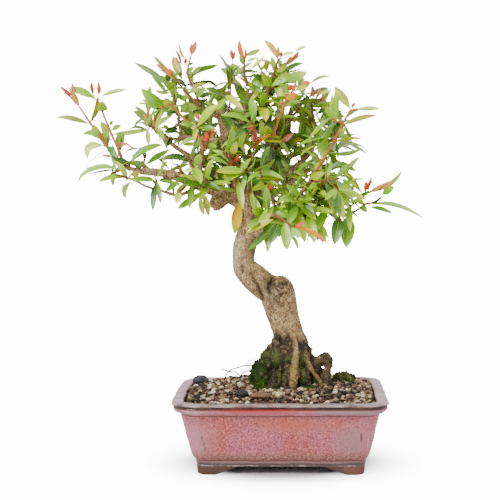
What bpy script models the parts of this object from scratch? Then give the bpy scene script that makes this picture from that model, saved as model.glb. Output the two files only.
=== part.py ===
"""Pomegranate bonsai in a glazed pot with soil, moss, drain screens and leafy shoots.

Lengths are in millimetres and MM turns them into metres. While the pieces are made, the pot's
middle stands on the origin with its long side along X. The last step moves everything so that the
origin lies under the middle of the whole plant, on the surface that the feet stand on.
"""

import math
import random

import bmesh
import bpy
from mathutils import Matrix, Vector
from mathutils.bvhtree import BVHTree

MM = 0.001

POT_WIDTH = 250.0
POT_DEPTH = 190.0
POT_HEIGHT = 87.0
RIM_CORNER_RADIUS = 36.0
FOOT_HEIGHT = 10.0
FLOOR_TOP = 18.0
FOOT_INSET = 27.5
FOOT_WALL = 12.0
FOOT_WIDTH_LOW = 22.0
FOOT_WIDTH_HIGH = 46.0
SIDE_FOOT_WIDTH_LOW = 20.0
SIDE_FOOT_WIDTH_HIGH = 38.0
CORNER_TIGHTENING = 0.6
CORNER_STEPS = 5
ARCH_STEPS = 6
ARCH_POWER = 1.4
BELOW_FEET = 2.0

DRAIN_X = 52.0
DRAIN_RADIUS = 11.5
DRAIN_CUT_LENGTH = 40.0
SCREEN_SIZE = 30.0
SCREEN_THICKNESS = 1.2
SCREEN_CELLS = 7
SCREEN_WIRE_RADIUS = 0.8
WIRE_BEND = 1.4
WIRE_FOOT = 8.0

GAP = 0.3
MERGE = 0.002
SEAT_STEP = 0.1
SEAT_STEPS = 60
SOIL_BOTTOM = 22.2
SOIL_BOTTOM_INSET = 36.6
SOIL_TOP_INSET = 14.0
SOIL_CLEARANCE = 0.55
SOIL_EDGE = 84.0
SOIL_TOP = 96.0
SOIL_MOUND_POWER = 4
SOIL_MIDDLE = (8.0, 8.0)
SOIL_RING_SCALES = (1.0, 0.93, 0.84, 0.72, 0.55, 0.3)
SOIL_SIDE_STEPS = 4

LEAF_THICKNESS = 1.3
LEAF_CLEARANCE = 2.6
LEAF_ROOTING = 0.7
LEAF_WIDTH_SHARE = 0.31
LEAF_BEND = 0.06
LEAF_DROOP = Vector((0, 0, -0.12))
# The four levels of a leaf's ball: how far along the leaf each lies, and its share of the width.
LEAF_LEVELS = {-1: (0.0, 0.0), -0.5: (0.3, 1.0), 0.5: (0.68, 0.8), 1: (1.0, 0.0)}
LEAF_FREE_FROM = 0.12
LEAF_LEANS = (38, 62)
LEAF_SIZE_SPREAD = (0.9, 1.1)
LEAF_TRIES = 9
LEAF_TURN = 0.7
LAST_LEAF_SHARE = 0.78
FIRST_PAIR_FROM = 0.4
LAST_PAIR_AT = 0.97
STEM_CLEARANCE = 0.5
SHOOT_RADIUS_BASE = 1.5
SHOOT_RADIUS_TIP = 0.8

# Where the eye stands that the shoots' and limbs' places were read from.
EYE_X = 25.0
EYE_DISTANCE = 1353.0
EYE_HEIGHT = 342.0

# Outside of the pot from the feet up to the lip: distance in from the rim's outline, and height.
POT_OUTSIDE = [
    (28.6, 0.0), (27.5, 6.0), (27.5, 16.4), (26.0, 17.2), (26.0, 18.8), (26.8, 19.8),
    (23.8, 27.0), (18.4, 37.5), (14.8, 52.0), (10.6, 67.0), (9.6, 69.0), (5.4, 73.0),
    (3.2, 77.6), (0.8, 80.4), (0.0, 83.0), (0.8, 85.4), (2.8, 86.4),
]
# Over the rim and down the inside to the floor.
POT_INSIDE = [
    (7.0, 86.6), (11.0, POT_HEIGHT), (12.8, 86.0), (14.4, 80.0), (20.4, 68.0), (24.6, 52.0),
    (28.4, 37.5), (33.6, 27.0), (36.8, 20.5), (41.0, FLOOR_TOP),
]

# Wood, as [x, depth y, height z, radius] seen from the eye: trunk first, then limbs, twigs, roots.
TRUNK = [
    (12, 3, 70, 27), (12, 2, 90, 27), (11, 1, 108, 26), (10, 0, 126, 24), (10, 0, 143, 21.3),
    (8, 0, 158, 18.8), (4.5, 0, 170, 18.9), (0.5, 0, 182, 19.7), (-3, 0, 194, 20.8),
    (-8, 0, 205, 21), (-17, 0, 214.5, 20), (-28, 0, 224, 18.6), (-37.5, 1, 233.5, 16.8),
    (-42.5, 2, 244, 14.4), (-43.5, 3, 255, 14.2), (-42, 4, 266, 14.4), (-39.5, 5, 277, 12.6),
    (-37, 7, 290, 10.8), (-36, 9, 302, 10.2), (-38, 11, 314, 10), (-44, 13, 326, 9.5),
    (-53, 15, 338, 9), (-60, 16, 350, 8.4), (-63.5, 17, 365, 7.6), (-65, 18, 382, 7.2),
    (-65, 19, 397, 6.8), (-68, 20, 412, 6), (-73, 21, 429, 5),
]
LIMBS = {
    "limb_left": [
        (-46, 13, 312, 9), (-60, 10, 321, 8.5), (-78, 6, 329, 8), (-95, 3, 335, 7.4),
        (-112, 0, 342, 6.6), (-130, -2, 348, 5.8), (-147, -4, 351, 5), (-163, -5, 352, 4.2),
        (-175, -6, 354.5, 3), (-187, -9, 360, 2.3), (-198, -13, 368, 1.9), (-207, -16, 381, 1.6),
    ],
    "limb_right_low": [
        (-39, 0, 268, 9), (-27, -9, 281, 8.2), (-14, -16, 292, 7), (-2, -20, 300, 6.4),
        (10, -21, 305.5, 5.6), (22, -20, 309.5, 5), (35, -18, 311, 4.3), (46, -16, 307.5, 3.4),
        (58, -15, 304.5, 2.8), (70, -14, 303.5, 2.4), (81, -14, 304.5, 2.1),
    ],
    "limb_right_high": [
        (-38, 12, 310, 8), (-28, 20, 328, 7), (-20, 26, 347, 6.2), (-16, 30, 366, 5.6),
        (-10, 33, 382, 5), (-2, 36, 396, 4.4), (8, 38, 408, 3.9), (15, 38, 421, 3.5),
    ],
    "limb_right_back": [
        (-28, 20, 327, 6), (-10, 38, 338, 5), (12, 51, 351, 4.2), (32, 57, 368, 3.6),
        (42, 54, 386, 3), (42, 50, 402, 2.3),
    ],
    "limb_back_left": [
        (-50, 16, 334, 6), (-70, 44, 346, 5), (-95, 70, 362, 4), (-120, 90, 378, 3.2),
        (-140, 103, 393, 2.3),
    ],
    "limb_back_right": [
        (-36, 9, 300, 6.5), (-16, 44, 316, 5.2), (6, 74, 333, 4.2), (30, 99, 349, 3.4),
        (54, 115, 363, 2.3),
    ],
    "limb_back_top": [
        (-63, 17, 360, 5.4), (-61, 45, 379, 4.4), (-55, 71, 399, 3.5), (-45, 91, 419, 2.4),
    ],
    "limb_top_mid": [
        (-65, 18, 392, 5.4), (-56, 11, 399, 4.8), (-47, 5, 407, 4), (-40, 0, 420, 3),
        (-37, -3, 436, 2.4), (-38, -5, 451, 2),
    ],
    "limb_top_left": [
        (-65, 18, 386, 4.6), (-82, 22, 389, 4), (-98, 26, 391, 3.3), (-112, 28, 392.5, 2.8),
        (-124, 30, 390.5, 2.2), (-137, 31, 394, 1.5),
    ],
    "twig_left_upright": [
        (-117, 29, 391.5, 2.4), (-119, 28, 405, 2.1), (-122, 27, 417, 1.8),
    ],
    "twig_leader_left": [
        (-69, 20, 414, 3.4), (-83, 13, 421, 2.7), (-95, 6, 428, 2.1),
    ],
    "twig_low_left": [
        (-98, 2, 335, 3), (-112, -12, 326.5, 2.6), (-124, -14, 323.5, 2.3),
        (-140, -16, 328, 2.1), (-152, -17, 331.5, 1.9), (-163, -18, 335.5, 1.8),
        (-171, -18, 340, 1.7), (-183, -19, 345, 1.5),
    ],
    "twig_low_left_fork": [
        (-141, -16, 328, 1.8), (-149, -15, 337, 1.7), (-156, -13, 344.5, 1.6),
        (-167, -12, 346, 1.4),
    ],
    "twig_left_rise": [
        (-98, 2, 337, 3.4), (-95, -5, 350, 2.7), (-93, -9, 364, 2.2), (-91, -10, 377, 1.8),
    ],
    "twig_left_front": [
        (-79, 5, 329, 4.2), (-88, -24, 340, 3.1), (-99, -48, 350, 2.3),
    ],
    "twig_orange": [
        (-50, 12, 324, 3.6), (-54, -12, 338, 2.6), (-56, -19, 353, 2),
    ],
    "twig_mid": [
        (-38, 9, 314, 4), (-36, -8, 333, 3.2), (-34, -14, 347, 2.7), (-32.5, -18, 361, 2.2),
        (-31, -20, 375, 1.9),
    ],
    "twig_mid_fork": [
        (-34, -13, 347, 2), (-41, -18, 354, 1.8), (-50, -23, 359.5, 1.6),
    ],
    "twig_centre": [
        (-10, 33, 381, 3.6), (-12, 20, 400, 2.8), (-14, 10, 420, 2.3), (-14, 2, 439, 1.9),
    ],
    "twig_centre_front": [
        (-19, 27, 358, 3.2), (-17, 9, 373, 2.6), (-11, -5, 385, 2.1),
    ],
    "twig_right_rise": [
        (8, -20, 305, 3.6), (14, -20, 313, 3), (22, -22, 321, 2.7), (30, -24, 330, 2.4),
        (35, -26, 337, 2.2),
    ],
    "twig_thin_rise": [
        (-3, -21, 301, 2.8), (-8, -26, 314, 2.2), (-12, -28, 325, 1.9), (-17, -29, 335, 1.7),
    ],
    "twig_right_end": [
        (76, -14, 304, 2), (87, -18, 301.5, 1.8), (95, -22, 305.5, 1.6),
    ],
    "twig_front_low": [
        (-18, -15, 289, 4.4), (-15, -42, 295, 3.2), (-6, -64, 299, 2.4),
    ],
    "stub_left": [
        (-60, 10, 320, 6.5), (-72, -3, 315, 5.8), (-83, -9, 313.5, 5.6),
    ],
    "stub_left_low": [
        (-64, 4, 316, 4), (-72, -6, 309, 3.4), (-80, -10, 306.5, 3.1),
    ],
    "stub_front": [
        (0, -18, 301, 5.2), (0, -29, 303, 5),
    ],
    "stub_right": [
        (36, -17, 311, 4.6), (39.5, -27, 313, 4.4),
    ],
}
ROOTS = {
    "root_front": [
        (14, -8, 148, 9), (15, -20, 132, 6.6), (16, -26, 115, 6), (15, -29, 100, 6),
        (13, -32, 84, 5), (12, -34, 76, 3.5),
    ],
    "root_front_left": [
        (4, -8, 146, 9), (-2, -18, 128, 8.4), (-6, -26, 108, 8), (-9, -32, 92, 7),
        (-11, -36, 78, 5),
    ],
    "root_left": [
        (2, -2, 142, 10), (-10, -4, 130, 10.6), (-21, -5, 114, 11), (-29, -6, 98, 10.4),
        (-35, -6, 80, 8),
    ],
    "root_back_left": [
        (2, 6, 138, 10), (-10, 20, 122, 9.6), (-20, 30, 106, 8.6), (-28, 38, 90, 7),
        (-32, 42, 78, 5),
    ],
    "root_back_right": [
        (16, 6, 138, 10), (26, 20, 120, 9), (34, 32, 104, 8), (40, 42, 88, 6),
        (43, 47, 77, 4),
    ],
    "root_right": [
        (20, -1, 142, 10), (29, -4, 128, 9), (37, -6, 112, 8.4), (44, -8, 96, 7.4),
        (50, -9, 80, 5.4),
    ],
    "root_right_thin": [
        (28, -12, 134, 4.4), (34, -19, 119, 3.2), (42, -22, 108, 2.9), (48, -25, 96, 2.6),
        (51, -27, 84, 2.2), (52, -28, 77, 1.8),
    ],
    "root_loop": [
        (34, -4, 124, 5.4), (44, -6, 125.5, 5), (51, -7, 128, 4.8), (57, -8, 127.5, 4.6),
        (59.5, -8, 120, 4.5), (57.5, -8, 111, 4.6), (55, -8, 101, 5), (54, -8, 88, 4.6),
        (54, -8, 77, 3.6),
    ],
}
THICK_LIMB = 5.5
TRUNK_STEP = 17.0
LIMB_STEP = 19.0
ROOT_STEP = 16.0
KNOT = (0, -5, 207)
KNOT_RADII = (16.5, 16, 18.5)

# Leafy shoots: the young stem's points as [x, depth y, z], the number of leaf pairs, and the
# pairs' length. The first point is on the wood.
SHOOTS = {
    "shoot_far_left_tall": (
        [(-189, -9, 362), (-191, -9, 373), (-198, -10, 389), (-205, -12, 406), (-212, -14, 424),
         (-217, -15, 436)], 3, 36),
    "shoot_far_left_pink": (
        [(-208, -16, 382), (-217, -19, 397), (-227, -22, 411), (-240, -24, 431)], 2, 34),
    "shoot_far_left_low": ([(-186, -9, 359), (-194, -24, 353), (-203, -38, 350)], 2, 38),
    "shoot_left_tip": ([(-184, -19, 345), (-190, -26, 347), (-197, -34, 349)], 2, 34),
    "shoot_left_ridge": ([(-164, -5, 353), (-163, 0, 363), (-160, 6, 373)], 2, 36),
    "shoot_left_bud": ([(-115, -4, 349), (-119, -12, 354), (-122, -18, 360)], 2, 30),
    "shoot_left_under": ([(-109, -2, 340), (-114, -16, 333), (-121, -28, 328)], 2, 30),
    "shoot_left_whorl": ([(-138, 31, 394.5), (-147, 29, 398), (-153, 28, 407)], 3, 36),
    "shoot_left_upright": (
        [(-122, 27, 418), (-124, 26, 433), (-125, 24, 446), (-121, 22, 460)], 3, 42),
    "shoot_left_tan": (
        [(-96, 5, 429), (-107, 0, 442), (-119, -5, 456), (-128, -9, 468)], 2, 34),
    "shoot_top_left": (
        [(-94, 7, 430), (-101, 12, 448), (-109, 14, 468), (-105, 15, 488)], 3, 32),
    "shoot_left_pink": (
        [(-91, -10, 378), (-97, -12, 396), (-113, -18, 414), (-130, -24, 432)], 2, 38),
    "shoot_left_coral": ([(-90, -11, 376), (-86, -18, 387), (-83, -22, 398)], 2, 26),
    "shoot_left_front": ([(-100, -49, 351), (-107, -60, 362), (-112, -68, 374)], 2, 38),
    "shoot_leader_top": (
        [(-67, 19, 408), (-60, 8, 425), (-58, 2, 447), (-57, 0, 468)], 3, 32),
    "shoot_top_orange": (
        [(-38, -5, 452), (-41, -8, 469), (-41, -10, 486)], 2, 30),
    "shoot_centre_top": (
        [(-14, 2, 440), (-12, 0, 453), (-6, -2, 468), (-1, -4, 483)], 3, 36),
    "shoot_centre_rise": (
        [(-10, -6, 386), (-4, -14, 404), (3, -20, 422), (10, -26, 441)], 2, 30),
    "shoot_mid_coral": ([(-31, -20, 376), (-29, -26, 388), (-31, -32, 401)], 2, 28),
    "shoot_mid_left": ([(-51, -23, 360), (-60, -34, 366), (-68, -46, 374)], 2, 34),
    "shoot_orange_tip": ([(-56, -19, 354), (-57, -26, 364), (-60, -36, 374)], 2, 32),
    "shoot_thin": ([(-17, -29, 336), (-22, -38, 346), (-24, -48, 356)], 2, 34),
    "shoot_right_back": ([(42, 50, 403), (40, 47, 416), (38, 44, 430)], 2, 34),
    "shoot_long_right": (
        [(35, -26, 338), (43, -29, 351), (51, -31, 362), (61, -33, 380), (72, -35, 400),
         (84, -37, 422)], 3, 38),
    "shoot_right_fan": ([(34, -25, 335), (44, -42, 338), (56, -56, 340)], 2, 38),
    "shoot_right_end": ([(82, -14, 305), (90, -15, 314), (100, -16, 322)], 3, 42),
    "shoot_right_tip": ([(96, -22, 306), (103, -26, 311), (112, -30, 312)], 2, 50),
    "shoot_right_hang": ([(63, -16, 303), (67, -28, 296), (72, -38, 290)], 2, 36),
    "shoot_front_low": ([(-5, -65, 298), (3, -75, 293), (12, -84, 287)], 2, 36),
    "shoot_front_left_low": ([(-15, -42, 294), (-20, -56, 290), (-26, -68, 287)], 2, 36),
    "shoot_right_stub": ([(16, -21, 309), (20, -38, 316), (24, -54, 322)], 2, 32),
    "shoot_back_left_end": ([(-141, 104, 394), (-150, 112, 406), (-158, 118, 419)], 2, 36),
    "shoot_back_left_mid": ([(-96, 72, 365), (-98, 88, 378), (-104, 100, 392)], 2, 36),
    "shoot_back_right_end": ([(55, 116, 364), (66, 122, 376), (76, 126, 390)], 2, 36),
    "shoot_back_right_mid": ([(7, 76, 336), (10, 94, 348), (8, 108, 362)], 2, 36),
    "shoot_back_top": ([(-45, 92, 420), (-40, 104, 436), (-34, 112, 452)], 2, 36),
    "shoot_back_right_low": ([(-9, 53, 319), (3, 60, 308), (16, 68, 302)], 2, 36),
    "shoot_back_leader": ([(-61, 46, 381), (-76, 62, 396), (-90, 74, 414)], 2, 36),
    "shoot_high_right": ([(11, 38, 410), (22, 46, 424), (30, 54, 438)], 2, 32),
}
# Single leaves that set how far the crown reaches: the shoot, how far up its stem, the leaf's end
# and its width.
LONG_LEAVES = [
    ("shoot_far_left_pink", 0.5, (-266, -24, 419), 9),
    ("shoot_far_left_tall", 0.95, (-214, -14, 459), 7),
    ("shoot_top_left", 0.95, (-99, 14, 507), 7),
    ("shoot_top_orange", 0.9, (-47, -12, 508), 7),
    ("shoot_centre_top", 0.95, (-16, -10, 508), 8),
    ("shoot_right_tip", 0.9, (168, -32, 296), 9),
]
LONG_LEAF_SIDE = Vector((0.2, 0.3, 1.0))

MOSS = {
    "moss_left": ((-19, -20, 108), (20, 15, 25)),
    "moss_right": ((74, 20, 95), (16, 14, 12)),
    "moss_front": ((36, -33, 96), (8, 7, 6)),
}
# What lies on the soil: its middle (x, y), its radii and its turn. SUNK is the share of its height's
# radius that its middle stands above the soil.
SUNK = 0.8
STONE = ((-100.5, 45), (9.6, 7.5, 5), 0.3)
CHIPS = {
    "bark_chip_dark": ((-45.5, -50), (7.5, 5, 4), 0.5),
    "bark_chip_long": ((-24, -64), (10.5, 4.5, 3.2), -0.15),
    "bark_chip_pale": ((-1.6, -68), (4.5, 3.2, 4), 0.9),
}
STALKS = {
    "dry_stalk_long": [(-70, 30, 96), (-64, 24, 109.5), (-50, 12, 115), (-42, 2, 117), (-33, -14, 116)],
    "dry_stalk_short": [(-51, 22, 97), (-48, 10, 106), (-42, -4, 110), (-32, -16, 110)],
    "dry_stalk_leaning": [(-46, 34, 98), (-54, 36, 108), (-63, 38, 109.5), (-73, 40, 113)],
}
STALK_RADIUS = 0.7
STALK_STEP = 7.0
OLD_LEAF_BASE = (-49, 0, 311)
OLD_LEAF_TIP = (-52, -14, 279)
OLD_LEAF_WIDTH = 10.0


def clear_scene():
    for obj in list(bpy.data.objects):
        bpy.data.objects.remove(obj, do_unlink=True)


def make_collection(name):
    collection = bpy.data.collections.new(name)
    bpy.context.scene.collection.children.link(collection)
    return collection


def make_material(name, color, roughness, metallic=0.0):
    material = bpy.data.materials.new(name)
    material.use_nodes = True
    shader = material.node_tree.nodes["Principled BSDF"]
    shader.inputs["Base Color"].default_value = (*color, 1.0)
    shader.inputs["Roughness"].default_value = roughness
    shader.inputs["Metallic"].default_value = metallic
    material.diffuse_color = (*color, 1.0)
    return material


def seen(x, y, z):
    """The point at depth y that the eye sees at (x, z) of the upright plane through the pot's middle."""
    k = 1.0 + y / EYE_DISTANCE
    return Vector((EYE_X + (x - EYE_X) * k, y, EYE_HEIGHT + (z - EYE_HEIGHT) * k))


def add_node(name, mesh, collection, material):
    """A mesh given in millimetres becomes an object in metres."""
    mesh.transform(Matrix.Scale(MM, 4))
    mesh.name = name
    mesh.materials.clear()
    mesh.materials.append(material)
    mesh.shade_smooth()
    mesh.set_sharp_from_angle(angle=math.radians(40))
    obj = bpy.data.objects.new(name, mesh)
    collection.objects.link(obj)
    return obj


def as_mesh(bm, name="shape"):
    mesh = bpy.data.meshes.new(name)
    bm.to_mesh(mesh)
    bm.free()
    return mesh


def helper_object(mesh, collection):
    """An object that only cuts or joins."""
    obj = bpy.data.objects.new("helper", mesh)
    obj.hide_render = True
    obj.display_type = "WIRE"
    collection.objects.link(obj)
    return obj


def face_outward(bm):
    """Turns every face of a closed shape to point out."""
    bmesh.ops.recalc_face_normals(bm, faces=bm.faces)
    if bm.calc_volume(signed=True) < 0:
        bmesh.ops.reverse_faces(bm, faces=bm.faces)


def evaluated_mesh(obj):
    bpy.context.view_layer.update()
    graph = bpy.context.evaluated_depsgraph_get()
    return bpy.data.meshes.new_from_object(obj.evaluated_get(graph))


def combine(mesh, others, operation, collection):
    """Boolean of a mesh with a list of meshes, all in millimetres."""
    target = helper_object(mesh, collection)
    for other in others:
        cutter = helper_object(other, collection)
        modifier = target.modifiers.new("combine", "BOOLEAN")
        modifier.operation = operation
        modifier.solver = "EXACT"
        modifier.object = cutter
    result = evaluated_mesh(target)
    for obj in list(collection.objects):
        bpy.data.objects.remove(obj, do_unlink=True)
    return largest_body(result)


def bodies_of(bm):
    """The faces of each separate body, the body with the most faces first."""
    left = set(bm.faces)
    bodies = []
    while left:
        stack = [left.pop()]
        body = list(stack)
        while stack:
            for edge in stack.pop().edges:
                for face in edge.link_faces:
                    if face in left:
                        left.remove(face)
                        stack.append(face)
                        body.append(face)
        bodies.append(body)
    return sorted(bodies, key=len, reverse=True)


def largest_body(mesh):
    """The mesh without the crumbs that a Boolean can leave, its doubles merged."""
    bm = bmesh.new()
    bm.from_mesh(mesh)
    bmesh.ops.remove_doubles(bm, verts=bm.verts, dist=MERGE)
    bmesh.ops.dissolve_degenerate(bm, edges=bm.edges, dist=MERGE)
    crumbs = [face for body in bodies_of(bm)[1:] for face in body]
    bmesh.ops.delete(bm, geom=crumbs, context="FACES")
    bmesh.ops.triangulate(bm, faces=bm.faces)
    bm.to_mesh(mesh)
    bm.free()
    return mesh


def is_one_closed_body(mesh):
    bm = bmesh.new()
    bm.from_mesh(mesh)
    closed = all(len(edge.link_faces) == 2 for edge in bm.edges)
    single = len(bodies_of(bm)) == 1
    bm.free()
    return closed and single


def grown(mesh, distance):
    """A copy of a mesh whose surface stands out by a distance, as a cutter that leaves a gap."""
    copy = mesh.copy()
    bm = bmesh.new()
    bm.from_mesh(copy)
    bm.normal_update()
    places = [vert.co + vert.normal * distance for vert in bm.verts]
    for vert, place in zip(bm.verts, places):
        vert.co = place
    bm.to_mesh(copy)
    bm.free()
    return copy


def smooth_path(points, step):
    """A Catmull-Rom curve through points of any number of values, with a point about every step."""
    rows = [Vector(p) for p in points]
    first = rows[0] * 2 - rows[1]
    last = rows[-1] * 2 - rows[-2]
    rows = [first, *rows, last]
    path = []
    for a, b, c, d in zip(rows, rows[1:], rows[2:], rows[3:]):
        pieces = max(1, round((Vector(c[:3]) - Vector(b[:3])).length / step))
        for i in range(pieces):
            t = i / pieces
            path.append(0.5 * (
                2 * b + (c - a) * t + (2 * a - 5 * b + 4 * c - d) * t ** 2
                + (3 * b - a - 3 * c + d) * t ** 3
            ))
    path.append(rows[-2])
    return path


def tube_mesh(path, resolution):
    """A tube with closed ends along a path of (x, y, z, radius)."""
    curve = bpy.data.curves.new("tube", "CURVE")
    curve.dimensions = "3D"
    curve.bevel_depth = 1.0
    curve.bevel_resolution = resolution
    curve.use_fill_caps = True
    spline = curve.splines.new("POLY")
    spline.points.add(len(path) - 1)
    for point, (x, y, z, radius) in zip(spline.points, path):
        point.co = (x, y, z, 1.0)
        point.radius = radius
    obj = bpy.data.objects.new("tube", curve)
    bpy.context.scene.collection.objects.link(obj)
    mesh = evaluated_mesh(obj)
    bpy.data.objects.remove(obj, do_unlink=True)
    bm = bmesh.new()
    bm.from_mesh(mesh)
    bmesh.ops.remove_doubles(bm, verts=bm.verts, dist=MERGE)
    face_outward(bm)
    bm.to_mesh(mesh)
    bm.free()
    return mesh


def ball_mesh(centre, radii, turn=0.0, segments=10, rings=7):
    bm = bmesh.new()
    bmesh.ops.create_uvsphere(bm, u_segments=segments, v_segments=rings, radius=1.0)
    placed = Matrix.Translation(centre) @ Matrix.Rotation(turn, 4, "Z")
    matrix = placed @ Matrix.Diagonal((*radii, 1.0))
    bmesh.ops.transform(bm, matrix=matrix, verts=bm.verts)
    return as_mesh(bm)


def rounded_ring(inset, z, side_steps=1, scale=1.0):
    """The pot's outline moved in by a distance and scaled about the soil's middle, at height z."""
    half_width = POT_WIDTH / 2 - inset
    half_depth = POT_DEPTH / 2 - inset
    radius = RIM_CORNER_RADIUS - CORNER_TIGHTENING * inset
    corners = [(1, 1), (-1, 1), (-1, -1), (1, -1)]
    outline = []
    for quarter, (sx, sy) in enumerate(corners):
        for step in range(CORNER_STEPS + 1):
            angle = math.radians(90 * quarter + 90 * step / CORNER_STEPS)
            x = sx * (half_width - radius) + radius * math.cos(angle)
            y = sy * (half_depth - radius) + radius * math.sin(angle)
            outline.append(Vector((x, y, z)))
    middle = Vector((*SOIL_MIDDLE, z))
    ring = []
    for i, point in enumerate(outline):
        beside = outline[(i + 1) % len(outline)]
        pieces = side_steps if i % (CORNER_STEPS + 1) == CORNER_STEPS else 1
        for piece in range(pieces):
            ring.append(middle.lerp(point.lerp(beside, piece / pieces), scale))
    return ring


def loft(rings, close_first=True, peak=None):
    """A closed skin over rings of equally many points; the last one ends in a flat or at a peak."""
    bm = bmesh.new()
    rows = [[bm.verts.new(point) for point in ring] for ring in rings]
    count = len(rows[0])
    for low, high in zip(rows, rows[1:]):
        for i in range(count):
            j = (i + 1) % count
            bm.faces.new((low[i], low[j], high[j], high[i]))
    if close_first:
        bm.faces.new(list(reversed(rows[0])))
    if peak is None:
        bm.faces.new(rows[-1])
    else:
        top = bm.verts.new(peak)
        for i in range(count):
            bm.faces.new((rows[-1][i], rows[-1][(i + 1) % count], top))
    face_outward(bm)
    bmesh.ops.triangulate(bm, faces=bm.faces)
    return as_mesh(bm)


def arch_cutter(half_low, half_high, length, turn):
    """The space between two feet: an outline whose ends rise in a slant, drawn out along its length."""
    curve = bpy.data.curves.new("arch", "CURVE")
    curve.dimensions = "2D"
    curve.fill_mode = "BOTH"
    curve.extrude = length / 2
    outline = [(half_low, -BELOW_FEET)]
    for step in range(ARCH_STEPS + 1):
        share = step / ARCH_STEPS
        reach = half_low + (half_high - half_low) * share
        outline.append((reach, FOOT_HEIGHT * share ** ARCH_POWER))
    outline += [(-x, z) for x, z in reversed(outline)]
    spline = curve.splines.new("POLY")
    spline.points.add(len(outline) - 1)
    for point, (x, z) in zip(spline.points, outline):
        point.co = (x, z, 0.0, 1.0)
    spline.use_cyclic_u = True
    obj = bpy.data.objects.new("arch", curve)
    bpy.context.scene.collection.objects.link(obj)
    mesh = evaluated_mesh(obj)
    bpy.data.objects.remove(obj, do_unlink=True)
    mesh.transform(Matrix.Rotation(turn, 4, "Z") @ Matrix.Rotation(math.radians(90), 4, "X"))
    bm = bmesh.new()
    bm.from_mesh(mesh)
    bmesh.ops.remove_doubles(bm, verts=bm.verts, dist=MERGE)
    face_outward(bm)
    bm.to_mesh(mesh)
    bm.free()
    return mesh


def drain_cutter(x):
    bm = bmesh.new()
    bmesh.ops.create_cone(bm, cap_ends=True, segments=16, radius1=DRAIN_RADIUS, radius2=DRAIN_RADIUS,
                          depth=DRAIN_CUT_LENGTH)
    bmesh.ops.translate(bm, vec=(x, 0.0, (FOOT_HEIGHT + FLOOR_TOP) / 2), verts=bm.verts)
    return as_mesh(bm)


def underside_cutter():
    """The recess inside the feet, up to the floor's underside."""
    bm = bmesh.new()
    bmesh.ops.create_cube(bm, size=1.0)
    width = POT_WIDTH - 2 * (FOOT_INSET + FOOT_WALL)
    depth = POT_DEPTH - 2 * (FOOT_INSET + FOOT_WALL)
    bmesh.ops.scale(bm, vec=(width, depth, FOOT_HEIGHT + BELOW_FEET), verts=bm.verts)
    bmesh.ops.translate(bm, vec=(0.0, 0.0, (FOOT_HEIGHT - BELOW_FEET) / 2), verts=bm.verts)
    return as_mesh(bm)


def make_pot(cutters):
    body = loft([rounded_ring(inset, z) for inset, z in POT_OUTSIDE + POT_INSIDE])
    foot_half_width = POT_WIDTH / 2 - FOOT_INSET
    foot_half_depth = POT_DEPTH / 2 - FOOT_INSET
    front_arch = arch_cutter(
        foot_half_width - FOOT_WIDTH_LOW, foot_half_width - FOOT_WIDTH_HIGH, POT_DEPTH, 0.0)
    side_arch = arch_cutter(
        foot_half_depth - SIDE_FOOT_WIDTH_LOW, foot_half_depth - SIDE_FOOT_WIDTH_HIGH, POT_WIDTH,
        math.radians(90))
    drains = [drain_cutter(-DRAIN_X), drain_cutter(DRAIN_X)]
    return combine(body, [underside_cutter(), front_arch, side_arch, *drains], "DIFFERENCE", cutters)


def make_screen(x):
    """A plate with square holes, lying over a drain hole."""
    bm = bmesh.new()
    bmesh.ops.create_grid(bm, x_segments=SCREEN_CELLS, y_segments=SCREEN_CELLS, size=SCREEN_SIZE / 2)
    cell = SCREEN_SIZE / SCREEN_CELLS
    holes = []
    for face in bm.faces:
        middle = face.calc_center_median()
        column = round((middle.x + SCREEN_SIZE / 2) / cell - 0.5)
        row = round((middle.y + SCREEN_SIZE / 2) / cell - 0.5)
        if column % 2 and row % 2:
            holes.append(face)
    bmesh.ops.delete(bm, geom=holes, context="FACES")
    kept = list(bm.faces)
    extruded = bmesh.ops.extrude_face_region(bm, geom=kept)
    moved = [item for item in extruded["geom"] if isinstance(item, bmesh.types.BMVert)]
    bmesh.ops.translate(bm, vec=(0.0, 0.0, SCREEN_THICKNESS), verts=moved)
    face_outward(bm)
    bmesh.ops.translate(bm, vec=(x, 0.0, FLOOR_TOP + GAP), verts=bm.verts)
    return as_mesh(bm)


def make_screen_wire(x):
    """A staple: over the screen, down through two of its holes and bent out under the floor."""
    leg = SCREEN_SIZE / SCREEN_CELLS * 2
    top = FLOOR_TOP + 2 * GAP + SCREEN_THICKNESS + SCREEN_WIRE_RADIUS
    low = FOOT_HEIGHT - GAP - SCREEN_WIRE_RADIUS
    half = [
        (leg - WIRE_BEND, top), (leg, top - WIRE_BEND), (leg, low + WIRE_BEND), (leg + WIRE_BEND, low),
        (leg + WIRE_FOOT, low),
    ]
    right = [(x + reach, 0.0, z, SCREEN_WIRE_RADIUS) for reach, z in half]
    left = [(x - reach, 0.0, z, SCREEN_WIRE_RADIUS) for reach, z in reversed(half)]
    return tube_mesh(left + right, 1)


def wood_path(points, step, extra):
    """A limb's smooth path, made thicker and longer all round by an extra distance."""
    path = smooth_path([(*seen(x, y, z), radius) for x, y, z, radius in points], step)
    for end, beside in ((0, 1), (-1, -2)):
        outward = (Vector(path[end][:3]) - Vector(path[beside][:3])).normalized()
        path[end] = Vector((*(Vector(path[end][:3]) + outward * extra), path[end][3]))
    return [(x, y, z, radius + extra) for x, y, z, radius in path]


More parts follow.
